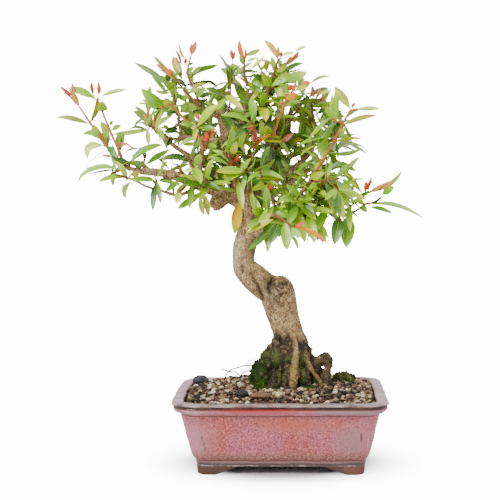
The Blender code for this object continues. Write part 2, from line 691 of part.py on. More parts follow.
def make_wood(cutters, extra=0.0):
    """Trunk, limbs, twigs and roots in one body."""
    trunk = tube_mesh(wood_path(TRUNK, TRUNK_STEP, extra), 3)
    branches = [
        tube_mesh(wood_path(points, LIMB_STEP, extra), 2 if points[0][3] > THICK_LIMB else 1)
        for points in LIMBS.values()
    ]
    roots = [tube_mesh(wood_path(points, ROOT_STEP, extra), 2) for points in ROOTS.values()]
    knot = ball_mesh(seen(*KNOT), [radius + extra for radius in KNOT_RADII])
    return combine(trunk, [knot, *roots, *branches], "UNION", cutters)


def soil_height(x, y):
    reach_x = (x - SOIL_MIDDLE[0]) / (POT_WIDTH / 2)
    reach_y = (y - SOIL_MIDDLE[1]) / (POT_DEPTH / 2)
    away = min(1.0, math.hypot(reach_x, reach_y))
    return SOIL_EDGE + (SOIL_TOP - SOIL_EDGE) * (1.0 - away ** SOIL_MOUND_POWER)


def make_soil(room_for_wood, cutters):
    wall = [(inset, z) for inset, z in reversed(POT_INSIDE) if SOIL_BOTTOM < z < SOIL_EDGE]
    rings = [rounded_ring(SOIL_BOTTOM_INSET + SOIL_CLEARANCE, SOIL_BOTTOM, SOIL_SIDE_STEPS)]
    rings += [rounded_ring(inset + SOIL_CLEARANCE, z, SOIL_SIDE_STEPS) for inset, z in wall]
    for scale in SOIL_RING_SCALES:
        ring = rounded_ring(SOIL_TOP_INSET + SOIL_CLEARANCE, 0.0, SOIL_SIDE_STEPS, scale)
        rings.append([(x, y, soil_height(x, y)) for x, y, _ in ring])
    bed = loft(rings, peak=(*SOIL_MIDDLE, SOIL_TOP))
    return combine(bed, [room_for_wood], "DIFFERENCE", cutters)


def leaf_mesh(base, tip, width, thickness, side):
    """A lance-shaped blade from base to tip, widest a third of the way along, bent a little."""
    bm = bmesh.new()
    bmesh.ops.create_uvsphere(bm, u_segments=4, v_segments=3, radius=1.0)
    length = (tip - base).length
    along = (tip - base).normalized()
    across = along.cross(side)
    if across.length < 0.05:
        across = along.cross(Vector((0.3, 1.0, 0.2)))
    across.normalize()
    up = across.cross(along).normalized()
    for vert in bm.verts:
        share, spread = LEAF_LEVELS[min(LEAF_LEVELS, key=lambda level: abs(level - vert.co.z))]
        angle = math.atan2(vert.co.y, vert.co.x)
        bend = LEAF_BEND * length * math.sin(math.pi * share)
        sideways = width / 2 * spread * math.cos(angle)
        upward = thickness / 2 * spread * math.sin(angle) + bend
        vert.co = base + along * (length * share) + across * sideways + up * upward
    face_outward(bm)
    return as_mesh(bm)


def point_along(path, share):
    """The point at a share of the way along straight runs from point to point."""
    place = share * (len(path) - 1)
    return path[int(place)].lerp(path[int(place) + 1], place % 1.0)


def tree_of(mesh):
    bm = bmesh.new()
    bm.from_mesh(mesh)
    tree = BVHTree.FromBMesh(bm)
    bm.free()
    return tree


def seat_on(tree, path, radius):
    """The path's first point, moved to just clear the wood under it, and the path's other points."""
    place, normal, _, _ = tree.find_nearest(path[0])
    for step in range(1, SEAT_STEPS):
        start = place + normal * (step * SEAT_STEP)
        stem = tree_of(tube_mesh([(*start, radius + GAP), (*path[1], radius + GAP)], 0))
        if not stem.overlap(tree):
            break
    return [start, *path[1:]]


def add_leaf(shoot, base, tip, width, side, cutters):
    """The shoot with one more leaf, or None where the leaf doesn't join it in one closed body."""
    leaf = leaf_mesh(base, tip, width, LEAF_THICKNESS, side)
    size = sum(len(polygon.vertices) for polygon in shoot.polygons)
    joined = combine(shoot.copy(), [leaf], "UNION", cutters)
    grew = sum(len(polygon.vertices) for polygon in joined.polygons) > size
    return joined if grew and is_one_closed_body(joined) else None


def stem_mesh(path, extra=0.0):
    """A young stem that thins towards its tip."""
    taper = (SHOOT_RADIUS_TIP - SHOOT_RADIUS_BASE) / (len(path) - 1)
    return tube_mesh(
        [(*point, SHOOT_RADIUS_BASE + extra + taper * i) for i, point in enumerate(path)], 0)


def free_part(base, tip, width, side):
    """The part of a leaf that other leaves stay clear of, which leaves out its foot on the stem."""
    return tree_of(leaf_mesh(base.lerp(tip, LEAF_FREE_FROM), tip, width, LEAF_THICKNESS, side))


def make_shoot(name, path, taken, cutters, rng):
    """A stem with its long leaves, then pairs of leaves turned until they clear all that is taken."""
    _, pairs, length = SHOOTS[name]
    shoot = stem_mesh(path)
    trees = []
    for owner, share, end, width in LONG_LEAVES:
        if owner == name:
            tip = seen(*end)
            place = point_along(path, share)
            base = place - (tip - place).normalized() * LEAF_ROOTING
            shoot = add_leaf(shoot, base, tip, width, LONG_LEAF_SIDE, cutters)
            trees.append(free_part(base, tip, width, LONG_LEAF_SIDE))
    ahead = (path[-1] - path[0]).normalized()
    side = ahead.orthogonal().normalized()
    for pair in range(pairs):
        share = FIRST_PAIR_FROM + (1.0 - FIRST_PAIR_FROM) * (pair + 1) / pairs
        place = point_along(path, min(LAST_PAIR_AT, share))
        last_share = LAST_LEAF_SHARE if pair == pairs - 1 else 1.0
        size = length * last_share * rng.uniform(*LEAF_SIZE_SPREAD)
        width = LEAF_WIDTH_SHARE * size
        start_angle = rng.uniform(0, math.pi) + pair * math.pi / 2
        for half in range(2):
            for attempt in range(LEAF_TRIES):
                angle = start_angle + half * math.pi + attempt * LEAF_TURN * (-1) ** attempt
                lean = math.radians(rng.uniform(*LEAF_LEANS))
                outward = Matrix.Rotation(angle, 3, ahead) @ side
                direction = ahead * math.cos(lean) + outward * math.sin(lean) + LEAF_DROOP
                direction.normalize()
                base = place - direction * LEAF_ROOTING
                tip = place + direction * size
                test = tree_of(leaf_mesh(base, tip, width, LEAF_CLEARANCE, ahead))
                if any(test.overlap(other) for other in taken + trees):
                    continue
                joined = add_leaf(shoot, base, tip, width, ahead, cutters)
                if joined is None:
                    continue
                shoot = joined
                trees.append(free_part(base, tip, width, ahead))
                break
    taken.append(tree_of(shoot))
    return shoot


def make_lying(place, radii, turn, below, cutters):
    """A stone or a chip that lies on the soil, sunk in a little."""
    height = soil_height(*place) + SUNK * radii[2]
    return combine(ball_mesh((*place, height), radii, turn, 9, 6), below, "DIFFERENCE", cutters)


def make_stalk(points, below, cutters):
    path = [(*seen(*point), STALK_RADIUS) for point in points]
    return combine(tube_mesh(smooth_path(path, STALK_STEP), 0), below, "DIFFERENCE", cutters)


def move_origin(nodes):
    """Puts the origin under the middle of the whole plant."""
    corners = [vert.co for obj in nodes for vert in obj.data.vertices]
    middle_x = (min(c.x for c in corners) + max(c.x for c in corners)) / 2
    middle_y = (min(c.y for c in corners) + max(c.y for c in corners)) / 2
    floor = min(c.z for c in corners)
    for obj in nodes:
        obj.data.transform(Matrix.Translation((-middle_x, -middle_y, -floor)))


def main():
    clear_scene()
    rng = random.Random(7)
    parts = make_collection("pomegranate_bonsai")
    cutters = make_collection("cutters")
    glaze = make_material("pink_glaze", (0.62, 0.36, 0.36), 0.25)
    bark = make_material("bark", (0.48, 0.38, 0.26), 0.85)
    soil_finish = make_material("soil", (0.28, 0.19, 0.13), 0.95)
    moss_finish = make_material("moss", (0.12, 0.24, 0.04), 0.95)
    stone_finish = make_material("dark_stone", (0.06, 0.07, 0.08), 0.7)
    chip_finish = make_material("bark_chip", (0.34, 0.20, 0.13), 0.9)
    stalk_finish = make_material("dry_stalk", (0.55, 0.45, 0.30), 0.8)
    leaf_finish = make_material("leaf", (0.22, 0.48, 0.06), 0.35)
    old_leaf_finish = make_material("old_leaf", (0.85, 0.62, 0.08), 0.45)
    plastic = make_material("screen_plastic", (0.05, 0.05, 0.05), 0.6)
    wire = make_material("screen_wire", (0.70, 0.70, 0.72), 0.35, 1.0)

    nodes = []

    def keep(name, mesh, material):
        nodes.append(add_node(name, mesh, parts, material))

    wood = make_wood(cutters)
    pot = make_pot(cutters)
    soil = make_soil(make_wood(cutters, GAP), cutters)

    def room():
        """What a piece on the soil is cut by, so that it rests a gap away from soil and wood."""
        return [make_wood(cutters, GAP), grown(soil, GAP)]

    moss = {
        name: combine(ball_mesh(place, radii), room(), "DIFFERENCE", cutters)
        for name, (place, radii) in MOSS.items()
    }
    chips = {name: make_lying(*chip, room(), cutters) for name, chip in CHIPS.items()}
    stone = make_lying(*STONE, room(), cutters)
    stalks = {
        name: make_stalk(points, [*room(), *(grown(m, GAP) for m in moss.values())], cutters)
        for name, points in STALKS.items()
    }

    wood_tree = tree_of(wood)
    taken = [wood_tree, tree_of(pot), tree_of(soil)]
    old_leaf_path = seat_on(wood_tree, [seen(*OLD_LEAF_BASE), seen(*OLD_LEAF_TIP)], GAP)
    old_leaf = leaf_mesh(*old_leaf_path, OLD_LEAF_WIDTH, LEAF_THICKNESS, Vector((0.3, 1.0, 0.1)))
    taken.append(tree_of(old_leaf))
    paths = {
        name: seat_on(wood_tree, [seen(*point) for point in points], SHOOT_RADIUS_BASE)
        for name, (points, _, _) in SHOOTS.items()
    }
    stem_trees = {name: tree_of(stem_mesh(path, STEM_CLEARANCE)) for name, path in paths.items()}
    shoots = {}
    for name in SHOOTS:
        others = [tree for other, tree in stem_trees.items() if other != name and other not in shoots]
        busy = taken + others
        shoots[name] = make_shoot(name, paths[name], busy, cutters, rng)
        taken.append(busy[-1])

    keep("pot", pot, glaze)
    for side, x in (("left", -DRAIN_X), ("right", DRAIN_X)):
        keep(f"drain_screen_{side}", make_screen(x), plastic)
        keep(f"screen_wire_{side}", make_screen_wire(x), wire)
    keep("soil_bed", soil, soil_finish)
    keep("wood", wood, bark)
    for name, mesh in moss.items():
        keep(name, mesh, moss_finish)
    keep("flat_stone", stone, stone_finish)
    for name, mesh in chips.items():
        keep(name, mesh, chip_finish)
    for name, mesh in stalks.items():
        keep(name, mesh, stalk_finish)
    keep("old_yellow_leaf", old_leaf, old_leaf_finish)
    for name, mesh in shoots.items():
        keep(name, mesh, leaf_finish)
    move_origin(nodes)


main()
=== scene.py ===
"""Pomegranate bonsai: the looks of the tree, its pot, soil, moss and leaves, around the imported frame.

Lengths in the tables are millimetres, and places are taken from the middle of the pot's feet, with X
to the right, Y away from the viewer and Z up. Pieces are modelled there in millimetres, and the last
step of each piece puts its mesh in its place in the frame, in metres. Colours are given as a screen
shows them, from 0 to 255.
"""

import math
import random
from contextlib import contextmanager
from itertools import product

import bpy
import numpy as np
from bpy.props import FloatProperty, FloatVectorProperty, IntProperty, PointerProperty
from bpy.types import Operator, Panel, PropertyGroup
from mathutils import Matrix, Vector, noise
from mathutils.kdtree import KDTree


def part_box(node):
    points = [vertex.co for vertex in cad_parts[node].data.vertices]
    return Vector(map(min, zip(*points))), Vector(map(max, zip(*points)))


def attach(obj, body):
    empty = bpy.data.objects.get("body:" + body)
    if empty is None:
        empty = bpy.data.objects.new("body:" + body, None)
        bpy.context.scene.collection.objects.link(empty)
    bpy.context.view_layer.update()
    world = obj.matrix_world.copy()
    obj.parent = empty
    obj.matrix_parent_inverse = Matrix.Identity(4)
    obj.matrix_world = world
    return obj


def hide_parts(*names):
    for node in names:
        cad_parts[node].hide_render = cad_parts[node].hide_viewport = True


bl_info = {
    "name": "Pomegranate bonsai",
    "version": (1, 0, 0),
    "blender": (4, 5, 0),
    "location": "3D View > Sidebar > Bonsai",
    "description": "Builds a pomegranate bonsai in a glazed pot around its packed frame",
    "category": "Object",
}

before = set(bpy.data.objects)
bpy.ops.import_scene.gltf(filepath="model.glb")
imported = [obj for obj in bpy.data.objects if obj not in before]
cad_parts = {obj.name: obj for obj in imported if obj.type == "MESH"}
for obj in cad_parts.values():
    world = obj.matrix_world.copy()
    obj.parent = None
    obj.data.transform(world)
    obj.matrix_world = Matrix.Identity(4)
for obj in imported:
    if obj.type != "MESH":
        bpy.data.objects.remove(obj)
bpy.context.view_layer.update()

MM = 0.001
POT_LOW, POT_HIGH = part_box("pot")
POT_MIDDLE = Vector(((POT_LOW.x + POT_HIGH.x) / 2, (POT_LOW.y + POT_HIGH.y) / 2, POT_LOW.z))
IN_FRAME = Matrix.Translation(POT_MIDDLE) @ Matrix.Scale(MM, 4)
SAME_HEIGHT = 0.001

# Where the eye stands that limbs, shoots and leaves were read from.
EYE_X = 25.0
EYE_DISTANCE = 1353.0
EYE_HEIGHT = 342.0
# How far the camera turns left, down and about its own axis, in degrees.
CAMERA_TURNS = (2.6, 3.6, -0.55)
# The lamps' places from the pot's middle, in metres.
KEY_PLACE = (-0.75, -1.15, 1.35)
FILL_PLACE = (1.2, 0.5, 0.9)

POT_WIDTH = 250.0
POT_DEPTH = 190.0
POT_HEIGHT = 87.0
RIM_CORNER_RADIUS = 28.0
CORNER_TIGHTENING = 0.6
# How far the short sides bow outwards at their middles, left and right.
SIDE_BOW = {-1: 2.8, 1: -0.8}
CORNER_STEPS = 12
LONG_SIDE_STEPS = 56
SHORT_SIDE_STEPS = 40
FOOT_INSET = 27.5
FOOT_WALL = 12.0
FOOT_WIDTH_LOW = 21.5
FOOT_WIDTH_HIGH = 47.5
SIDE_FOOT_WIDTH_LOW = 20.0
SIDE_FOOT_WIDTH_HIGH = 38.0
ARCH_HEIGHT = 9.7
ARCH_POWER = 1.05
BEAD_START = 16.4
UNDER_FLOOR = 10.4
# From under the floor to the feet: distance in, and the share of the way up to the floor.
UNDER_EDGE = [
    (FOOT_INSET + FOOT_WALL + 1.2, 1.0), (FOOT_INSET + FOOT_WALL + 0.4, 0.35),
    (FOOT_INSET + FOOT_WALL - 1.2, 0.0),
]
DRAIN_X = 52.0
DRAIN_RADIUS = 11.5

# Outside of the pot from the feet up, over the lip and down the inside: distance in, and height.
POT_OUTSIDE = [
    (28.9, 0.0), (28.3, 0.3), (28.0, 1.4), (27.8, 3.6), (27.6, 7.5), (27.2, 10.5), (26.8, 12.6),
    (26.4, 14.6), (26.2, 16.0), (26.4, 16.9), (25.7, 17.7), (24.6, 19.0), (23.3, 21.2), (22.2, 23.6),
    (21.1, 26.6), (20.2, 30.0), (19.3, 34.0), (18.2, 37.6), (17.1, 41.0), (16.1, 45.6), (15.2, 50.4),
    (14.2, 55.4), (13.0, 60.6), (11.8, 65.2), (11.0, 68.6), (10.5, 71.0), (10.3, 72.4), (9.6, 73.1),
    (7.6, 73.8), (5.4, 74.7), (3.6, 75.9), (2.4, 77.4), (1.9, 78.9), (1.9, 80.2), (2.5, 81.4), (2.7, 82.1),
    (2.0, 82.7), (0.8, 83.2), (0.2, 84.0), (0.0, 84.9), (0.5, 85.8), (1.6, 86.4), (3.2, 86.7), (5.2, 86.8),
]
POT_INSIDE = [
    (8.2, 86.9), (11.0, POT_HEIGHT), (12.3, 86.7), (13.1, 85.8), (13.6, 84.0), (14.4, 80.0), (16.6, 74.0),
    (20.4, 68.0), (24.6, 52.0), (28.4, 37.5), (33.6, 27.0), (37.6, 21.0), (41.0, 18.6), (46.0, 18.2),
]
# The skin's slow wave: its height, the height on the pot where it starts, and the seed of its draws.
GLAZE_WAVE = 0.42
GLAZE_WAVE_START = 12.0
GLAZE_SEED = 7
# Patches of the glaze: the middle, the reach, how strong, and the colour.
GLAZE_PATCHES = [
    ((80, -80, 40), (22, 30, 24), 0.6, (162, 126, 132)),
    ((-88, -80, 42), (15, 30, 28), 0.3, (190, 128, 138)),
    ((18, -84, 62), (62, 30, 9), 0.45, (200, 104, 80)),
    # The two patches at x -98 and 100 are lighter pink as painted light on the pot's ends.
    ((-98, -60, 40), (14, 60, 40), 0.5, (210, 140, 160)),
    ((100, -60, 46), (12, 60, 40), 0.5, (204, 122, 138)),
    ((-60, 80, 44), (40, 30, 26), 0.5, (186, 120, 138)),
    ((-89, -84, 40), (6, 30, 16), 0.4, (172, 130, 126)),
    ((-90, -84, 46), (1.3, 20, 3.5), 0.75, (86, 60, 58)),
    ((-88, -84, 39), (1.2, 20, 3), 0.7, (92, 64, 60)),
    ((-87, -84, 32), (1.5, 20, 4), 0.75, (84, 58, 54)),
    ((92, -84, 47), (1.3, 30, 6), 0.8, (70, 44, 42)),
    ((100, -84, 40), (1.6, 20, 14), 0.5, (210, 178, 184)),
]
# Colours up the plinth, at shares of the pot's height. The light band from 0.17 to 0.19 is a painted
# highlight along the bead.
PLINTH_COLOURS = [
    (0.0, (88, 62, 52)), (0.115, (100, 74, 62)), (0.135, (84, 70, 68)), (0.155, (80, 64, 60)),
    (0.17, (144, 114, 106)), (0.19, (146, 108, 98)), (0.202, (98, 50, 42)), (0.222, (144, 90, 82)),
    (0.32, (170, 104, 98)),
]
# The bare clay's roughness, as a grey that stands beside the glaze's in one mix.
BARE_ROUGHNESS = (0.75, 0.75, 0.75, 1.0)

SOIL_EDGE = 84.0
SOIL_TOP = 96.0
SOIL_MOUND_POWER = 4
SOIL_MIDDLE = (8.0, 8.0)
SOIL_WALL_GAP = 0.6
SOIL_BED_DROP = 1.8
# The mound's rings, as shares of the pot's outline.
SOIL_RINGS = (0.995, 0.93, 0.84, 0.72, 0.58, 0.42, 0.24, 0.08)
GRAIN_INSET = 15.0
GRAIN_SHAPES = 5
# How far the two layers of grains lie under the mound's height.
GRAIN_DROPS = (2.2, 0.2)
# Kinds of grain: the random share that each reaches up to, its cuts, its flatness, then its
# roughness, pore size and pore depth, and its tints.
GRAIN_KINDS = {
    "pumice": (
        0.31, 7, 0.85, (0.9, 1.1, 0.5),
        ((214, 194, 150), (168, 146, 108), (250, 240, 208), (136, 116, 84))),
    "bark_bits": (
        0.73, 6, 0.5, (0.8, 1.6, 0.4), ((104, 78, 66), (78, 57, 48), (126, 94, 78), (150, 116, 94))),
    "dark_bits": (
        1.0, 7, 0.75, (0.6, 1.3, 0.3), ((38, 31, 29), (58, 46, 42), (28, 30, 32), (90, 76, 66))),
}

# Wood, as [x, depth y, height z, radius] seen from the eye: trunk first, then limbs, twigs, roots.
TRUNK = [
    (12, 3, 70, 27), (12, 2, 90, 27), (11, 1, 108, 26), (10, 0, 126, 25), (10, 0, 143, 22.6),
    (8, 0, 158, 18.8), (4.5, 0, 170, 18.9), (1.5, 0, 182, 19.8), (-1.2, 0, 194, 21.0),
    (-4.8, 0, 204.4, 20.9), (-16.6, 0, 211.4, 17.6), (-31.3, 0, 223.5, 16.9), (-41.6, 1, 233.5, 14.9),
    (-44.3, 2, 244, 13.6), (-43.8, 3, 255, 14.2), (-42, 4, 266, 14.4), (-39.5, 5, 277, 12.6),
    (-37, 7, 290, 10.8), (-36, 9, 302, 10.2), (-38, 11, 314, 10), (-44, 13, 326, 9.5), (-53, 15, 338, 9),
    (-60, 16, 350, 8.4), (-63.5, 17, 365, 7.6), (-65, 18, 382, 7.2), (-65, 19, 397, 6.8), (-68, 20, 412, 6),
    (-73, 21, 429, 5),
]
LIMBS = {
    "limb_left": [
        (-46, 13, 312, 9), (-60, 10, 321, 8.5), (-78, 6, 329, 8), (-95, 3, 335, 7.4), (-112, 0, 342, 6.6),
        (-130, -2, 348, 5.8), (-147, -4, 351, 5), (-163, -5, 352, 4.2), (-175, -6, 354.5, 3),
        (-187, -9, 360, 2.3), (-198, -13, 368, 1.9), (-207, -16, 381, 1.6),
    ],
    "limb_right_low": [
        (-39, 0, 268, 9), (-27, -9, 281, 8.2), (-14, -16, 292, 7), (-2, -20, 300, 6.4),
        (10, -21, 305.5, 5.6), (22, -20, 309.5, 5), (35, -18, 311, 4.3), (46, -16, 307.5, 3.4),
        (58, -15, 304.5, 2.8), (70, -14, 303.5, 2.4), (81, -14, 304.5, 2.1),
    ],
    "limb_right_high": [
        (-38, 12, 310, 8), (-28, 20, 328, 7), (-20, 26, 347, 6.2), (-16, 30, 366, 5.6), (-10, 33, 382, 5),
        (-2, 36, 396, 4.4), (8, 38, 408, 3.9), (15, 38, 421, 3.5),
    ],
    "limb_right_back": [
        (-28, 20, 327, 6), (-10, 38, 338, 5), (12, 51, 351, 4.2), (32, 57, 368, 3.6), (42, 54, 386, 3),
        (42, 50, 402, 2.3),
    ],
    "limb_back_left": [
        (-50, 16, 334, 6), (-70, 44, 346, 5), (-95, 70, 362, 4), (-120, 90, 378, 3.2),
        (-140, 103, 393, 2.3),
    ],
    "limb_back_right": [
        (-36, 9, 300, 6.5), (-16, 44, 316, 5.2), (6, 74, 333, 4.2), (30, 99, 349, 3.4), (54, 115, 363, 2.3),
    ],
    "limb_back_top": [(-63, 17, 360, 5.4), (-61, 45, 379, 4.4), (-55, 71, 399, 3.5), (-45, 91, 419, 2.4)],
    "limb_top_mid": [
        (-65, 18, 392, 5.4), (-56, 11, 399, 4.8), (-47, 5, 407, 4), (-40, 0, 420, 3), (-37, -3, 436, 2.4),
        (-38, -5, 451, 2),
    ],
    "limb_top_left": [
        (-65, 18, 386, 4.6), (-82, 22, 389, 4), (-98, 26, 391, 3.3), (-112, 28, 392.5, 2.8),
        (-124, 30, 390.5, 2.2), (-137, 31, 394, 1.5),
    ],
    "twig_left_upright": [(-117, 29, 391.5, 2.4), (-119, 28, 405, 2.1), (-122, 27, 417, 1.8)],
    "twig_leader_left": [(-69, 20, 414, 3.4), (-83, 13, 421, 2.7), (-95, 6, 428, 2.1)],
    "twig_low_left": [
        (-98, 2, 335, 3), (-112, -12, 326.5, 2.6), (-124, -14, 323.5, 2.3), (-140, -16, 328, 2.1),
        (-152, -17, 331.5, 1.9), (-163, -18, 335.5, 1.8), (-171, -18, 340, 1.7), (-183, -19, 345, 1.5),
    ],
    "twig_low_left_fork": [
        (-141, -16, 328, 1.8), (-149, -15, 337, 1.7), (-156, -13, 344.5, 1.6), (-167, -12, 346, 1.4),
    ],
    "twig_left_rise": [(-98, 2, 337, 3.4), (-95, -5, 350, 2.7), (-93, -9, 364, 2.2), (-91, -10, 377, 1.8)],
    "twig_left_front": [(-79, 5, 329, 4.2), (-88, -24, 340, 3.1), (-99, -48, 350, 2.3)],
    "twig_orange": [(-50, 12, 324, 3.6), (-54, -12, 338, 2.6), (-56, -19, 353, 2)],
    "twig_mid": [
        (-38, 9, 314, 4), (-36, -8, 333, 3.2), (-34, -14, 347, 2.7), (-32.5, -18, 361, 2.2),
        (-31, -20, 375, 1.9),
    ],
    "twig_mid_fork": [(-34, -13, 347, 2), (-41, -18, 354, 1.8), (-50, -23, 359.5, 1.6)],
    "twig_centre": [(-10, 33, 381, 3.6), (-12, 20, 400, 2.8), (-14, 10, 420, 2.3), (-14, 2, 439, 1.9)],
    "twig_centre_front": [(-19, 27, 358, 3.2), (-17, 9, 373, 2.6), (-11, -5, 385, 2.1)],
    "twig_right_rise": [
        (8, -20, 305, 3.6), (14, -20, 313, 3), (22, -22, 321, 2.7), (30, -24, 330, 2.4),
        (35, -26, 337, 2.2),
    ],
    "twig_thin_rise": [
        (-3, -21, 301, 2.8), (-8, -26, 314, 2.2), (-12, -28, 325, 1.9), (-17, -29, 335, 1.7),
    ],
    "twig_right_end": [(76, -14, 304, 2), (87, -18, 301.5, 1.8), (95, -22, 305.5, 1.6)],
    "twig_front_low": [(-18, -15, 289, 4.4), (-15, -42, 295, 3.2), (-6, -64, 299, 2.4)],
    "stub_left": [(-60, 10, 320, 6.5), (-72, -3, 315, 5.8), (-83, -9, 313.5, 5.6)],
    "stub_left_low": [(-64, 4, 316, 4), (-72, -6, 309, 3.4), (-80, -10, 306.5, 3.1)],
    "stub_front": [(0, -18, 301, 5.2), (0, -29, 303, 5)],
    "stub_right": [(36, -17, 311, 4.6), (39.5, -27, 313, 4.4)],
}
ROOTS = {
    "root_front": [
        (16.5, -8, 150, 8), (18.5, -19, 135, 5.2), (17.6, -23, 126, 4.2), (16.7, -26, 113.6, 4.4),
        (16.2, -28, 103, 4.8), (15, -30, 92, 4.2), (13, -33, 78, 3.6),
    ],
    "root_front_left": [
        (4, -8, 146, 9), (-2, -18, 128, 8.4), (-6, -26, 108, 8), (-9, -32, 92, 7), (-11, -36, 78, 5),
    ],
    "root_left": [
        (1, -2, 143, 10.4), (-10.8, -4, 130.8, 10.9), (-21, -5, 114, 11), (-29, -6, 98, 10.4),
        (-35, -6, 80, 8),
    ],
    "root_back_left": [
        (2, 6, 138, 10), (-10, 20, 122, 9.6), (-20, 30, 106, 8.6), (-28, 38, 90, 7), (-32, 42, 78, 5),
    ],
    "root_back_right": [
        (16, 6, 138, 10), (26, 20, 120, 9), (34, 32, 104, 8), (40, 42, 88, 6), (43, 47, 77, 4),
    ],
    "root_right": [
        (21, -1, 143, 10.2), (30, -4, 129, 9.2), (37, -6, 113, 8.5), (44, -8, 96, 7.4), (50, -9, 80, 5.4),
    ],
    "root_right_thin": [
        (27, -12, 138, 3.8), (31.4, -18, 123.4, 3.0), (36.2, -21, 113.5, 2.6), (41, -23, 105.3, 2.4),
        (46.6, -25, 97.1, 2.4), (48.4, -26, 89.8, 2.2), (50, -27, 78, 1.9),
    ],
    "root_loop": [
        (32, -4, 118.5, 6.5), (42, -6, 120, 7), (50, -7, 124.2, 6.6), (56, -8, 127, 5.6),
        (57.2, -8, 121, 4.9), (55.4, -8, 112.5, 4.5), (54.6, -8, 103, 5.4), (53.5, -8, 90, 6),
        (53, -8, 77, 5),
    ],
    "root_under_loop": [
        (30, 2, 124, 8), (38, 5, 116, 8), (45, 6, 104.5, 9), (52, 6, 94, 9), (55, 6, 80, 7),
    ],
    "root_front_middle": [
        (8, -6, 146, 8), (7, -16, 128, 6), (5, -23, 110, 5.6), (4, -28, 94, 5.6), (4, -32, 78, 4.6),
    ],
    "root_front_right": [
        (20, -6, 144, 8), (24, -15, 126, 6), (27, -20, 110, 6), (29, -24, 96, 6), (30, -27, 78, 5),
    ],
}
KNOT = (0, -5, 207)
KNOT_RADII = (16.5, 16, 18.5)
WOOD_STEP = 3.0
TRUNK_ROUNDS = 9
LIMB_ROUNDS = 4
PLACES_AT_ONCE = 4000

# How golden each root is, against the darker low bark of the others.
ROOT_GOLD = {"root_front": 0.95, "root_right_thin": 0.8, "root_loop": 0.2}
# The old wound, as a seen middle and its reach in X and Z.
WOUND_MIDDLE = (-1, 206)
WOUND_REACH = (14, 15)
# Lines and spots carved into the front of the wood: seen points, half width, depth.
# Each carving is also darkened with its depth, as painted shade in the groove.
CARVINGS = [
    ([(-36, 230), (-32, 222), (-28, 213), (-24, 203), (-22, 196)], 2.3, 3.3),
    ([(-9, 223), (-13, 215), (-15, 206)], 2.3, 2.9), ([(-12, 205), (-15, 196), (-12, 190)], 2.0, 1.6),
    ([(-9, 222), (0, 224), (9, 219)], 1.7, 1.7), ([(9, 219), (14, 211), (13, 203)], 1.6, 1.3),
    ([(-4, 197), (1, 203), (8, 206)], 1.6, 2.2), ([(1, 203), (-4, 209), (-8, 216)], 1.5, 1.9),
    ([(1, 215), (6, 215.5)], 3.2, 2.4), ([(-9, 207), (-8, 212)], 2.0, 1.8),
    ([(-10, 201), (-5, 194), (-2, 188)], 1.7, 1.5), ([(4, 209), (8, 200)], 1.3, 1.4),
    ([(-7, 217), (-2, 212), (3, 210)], 1.3, 1.5), ([(-1, 196), (4, 190)], 1.3, 1.1),
    ([(-46, 237), (-45.5, 230)], 2.1, 3.0), ([(-43, 292), (-41, 286)], 1.3, 1.3),
    ([(-38, 303), (-37, 298)], 1.2, 1.2), ([(-36, 276), (-37, 262)], 1.2, 0.9),
    ([(-33, 262), (-33, 250)], 1.0, 0.7), ([(9, 154), (12, 140)], 2.4, 2.6),
    ([(-2, 152), (1, 138)], 2.4, 2.2), ([(21, 150), (23, 136)], 2.2, 2.2),
    ([(-61, 345), (-58, 341)], 3.4, 1.8), ([(39, 313), (38, 313)], 2.0, 2.0),
    ([(1, 302), (2, 302)], 2.6, 2.0), ([(-82, 314), (-81, 313)], 2.6, 2.2),
]
# Changes of the bark's colour on the front, one list for each tone in the order of the mesh's four
# colour values: the middle, how far it reaches, how strong.
BARK_PATCHES = {
    # The dark patches are mostly painted shade: in the crease, the hollows, pits and between the roots, and
    # on the trunk's right side.
    "dark": [
        ((15, 135), (8, 5), 0.12), ((-15, 218), (7, 8), 0.6), ((4, 215), (6, 3), 0.4),
        ((-10, 197), (9, 9), 0.22), ((-3, 186), (9, 7), 0.2), ((-24, 215), (4, 10), 0.18),
        ((-19, 210), (7, 12), 0.22), ((6, 147), (6, 9), 0.8), ((-6, 152), (6, 7), 0.6),
        ((18, 108), (5, 12), 0.35), ((-12, 112), (7, 14), 0.3), ((26.5, 142), (3, 9), 0.5),
        ((-60, 343), (5, 5), 0.8), ((-33, 268), (3, 26), 0.35),
    ],
    "gold": [
        ((16, 160), (10, 12), 0.55), ((12, 186), (9, 14), 0.3), ((-12, 228), (22, 8), 0.3),
        ((-40, 276), (7, 10), 0.25),
    ],
    "moss": [
        ((24, 127), (4, 5), 0.4), ((24, 120), (5, 10), 0.8), ((38, 96), (9, 6), 0.7),
        ((-4, 126), (9, 8), 0.35), ((-20, 128), (12, 8), 0.6), ((8, 104), (6, 10), 0.25),
        ((-2, 100), (6, 10), 0.25), ((22, 174), (4, 18), 0.3), ((-34, 254), (4, 20), 0.22),
    ],
    # The pale patches at (-53, 262) and (-44, 300) are painted light on the trunk's left side, and the one
    # at (16.5, 107) is a painted highlight on the golden root.
    "pale": [
        ((-53, 262), (7, 34), 0.6), ((-44, 300), (8, 14), 0.2), ((-6, 206), (9, 13), 0.4),
        ((-20, 204), (5, 22), 0.3), ((16.5, 107), (2.6, 8), 0.45),
    ],
}
# The heights between which the roots' darker low bark begins and is full.
ROOT_ZONE = (158.0, 138.0)
# Where tan bark runs on down towards the golden root: each place's middle, then its reach.
BARE_STREAKS = [((18.5, 141), (4, 20)), ((23, 154), (7, 8))]
LOW_BARK_COLOURS = [
    (0.34, (20, 16, 14)), (0.5, (50, 39, 31)), (0.62, (108, 86, 62)), (0.72, (178, 150, 114)),
]

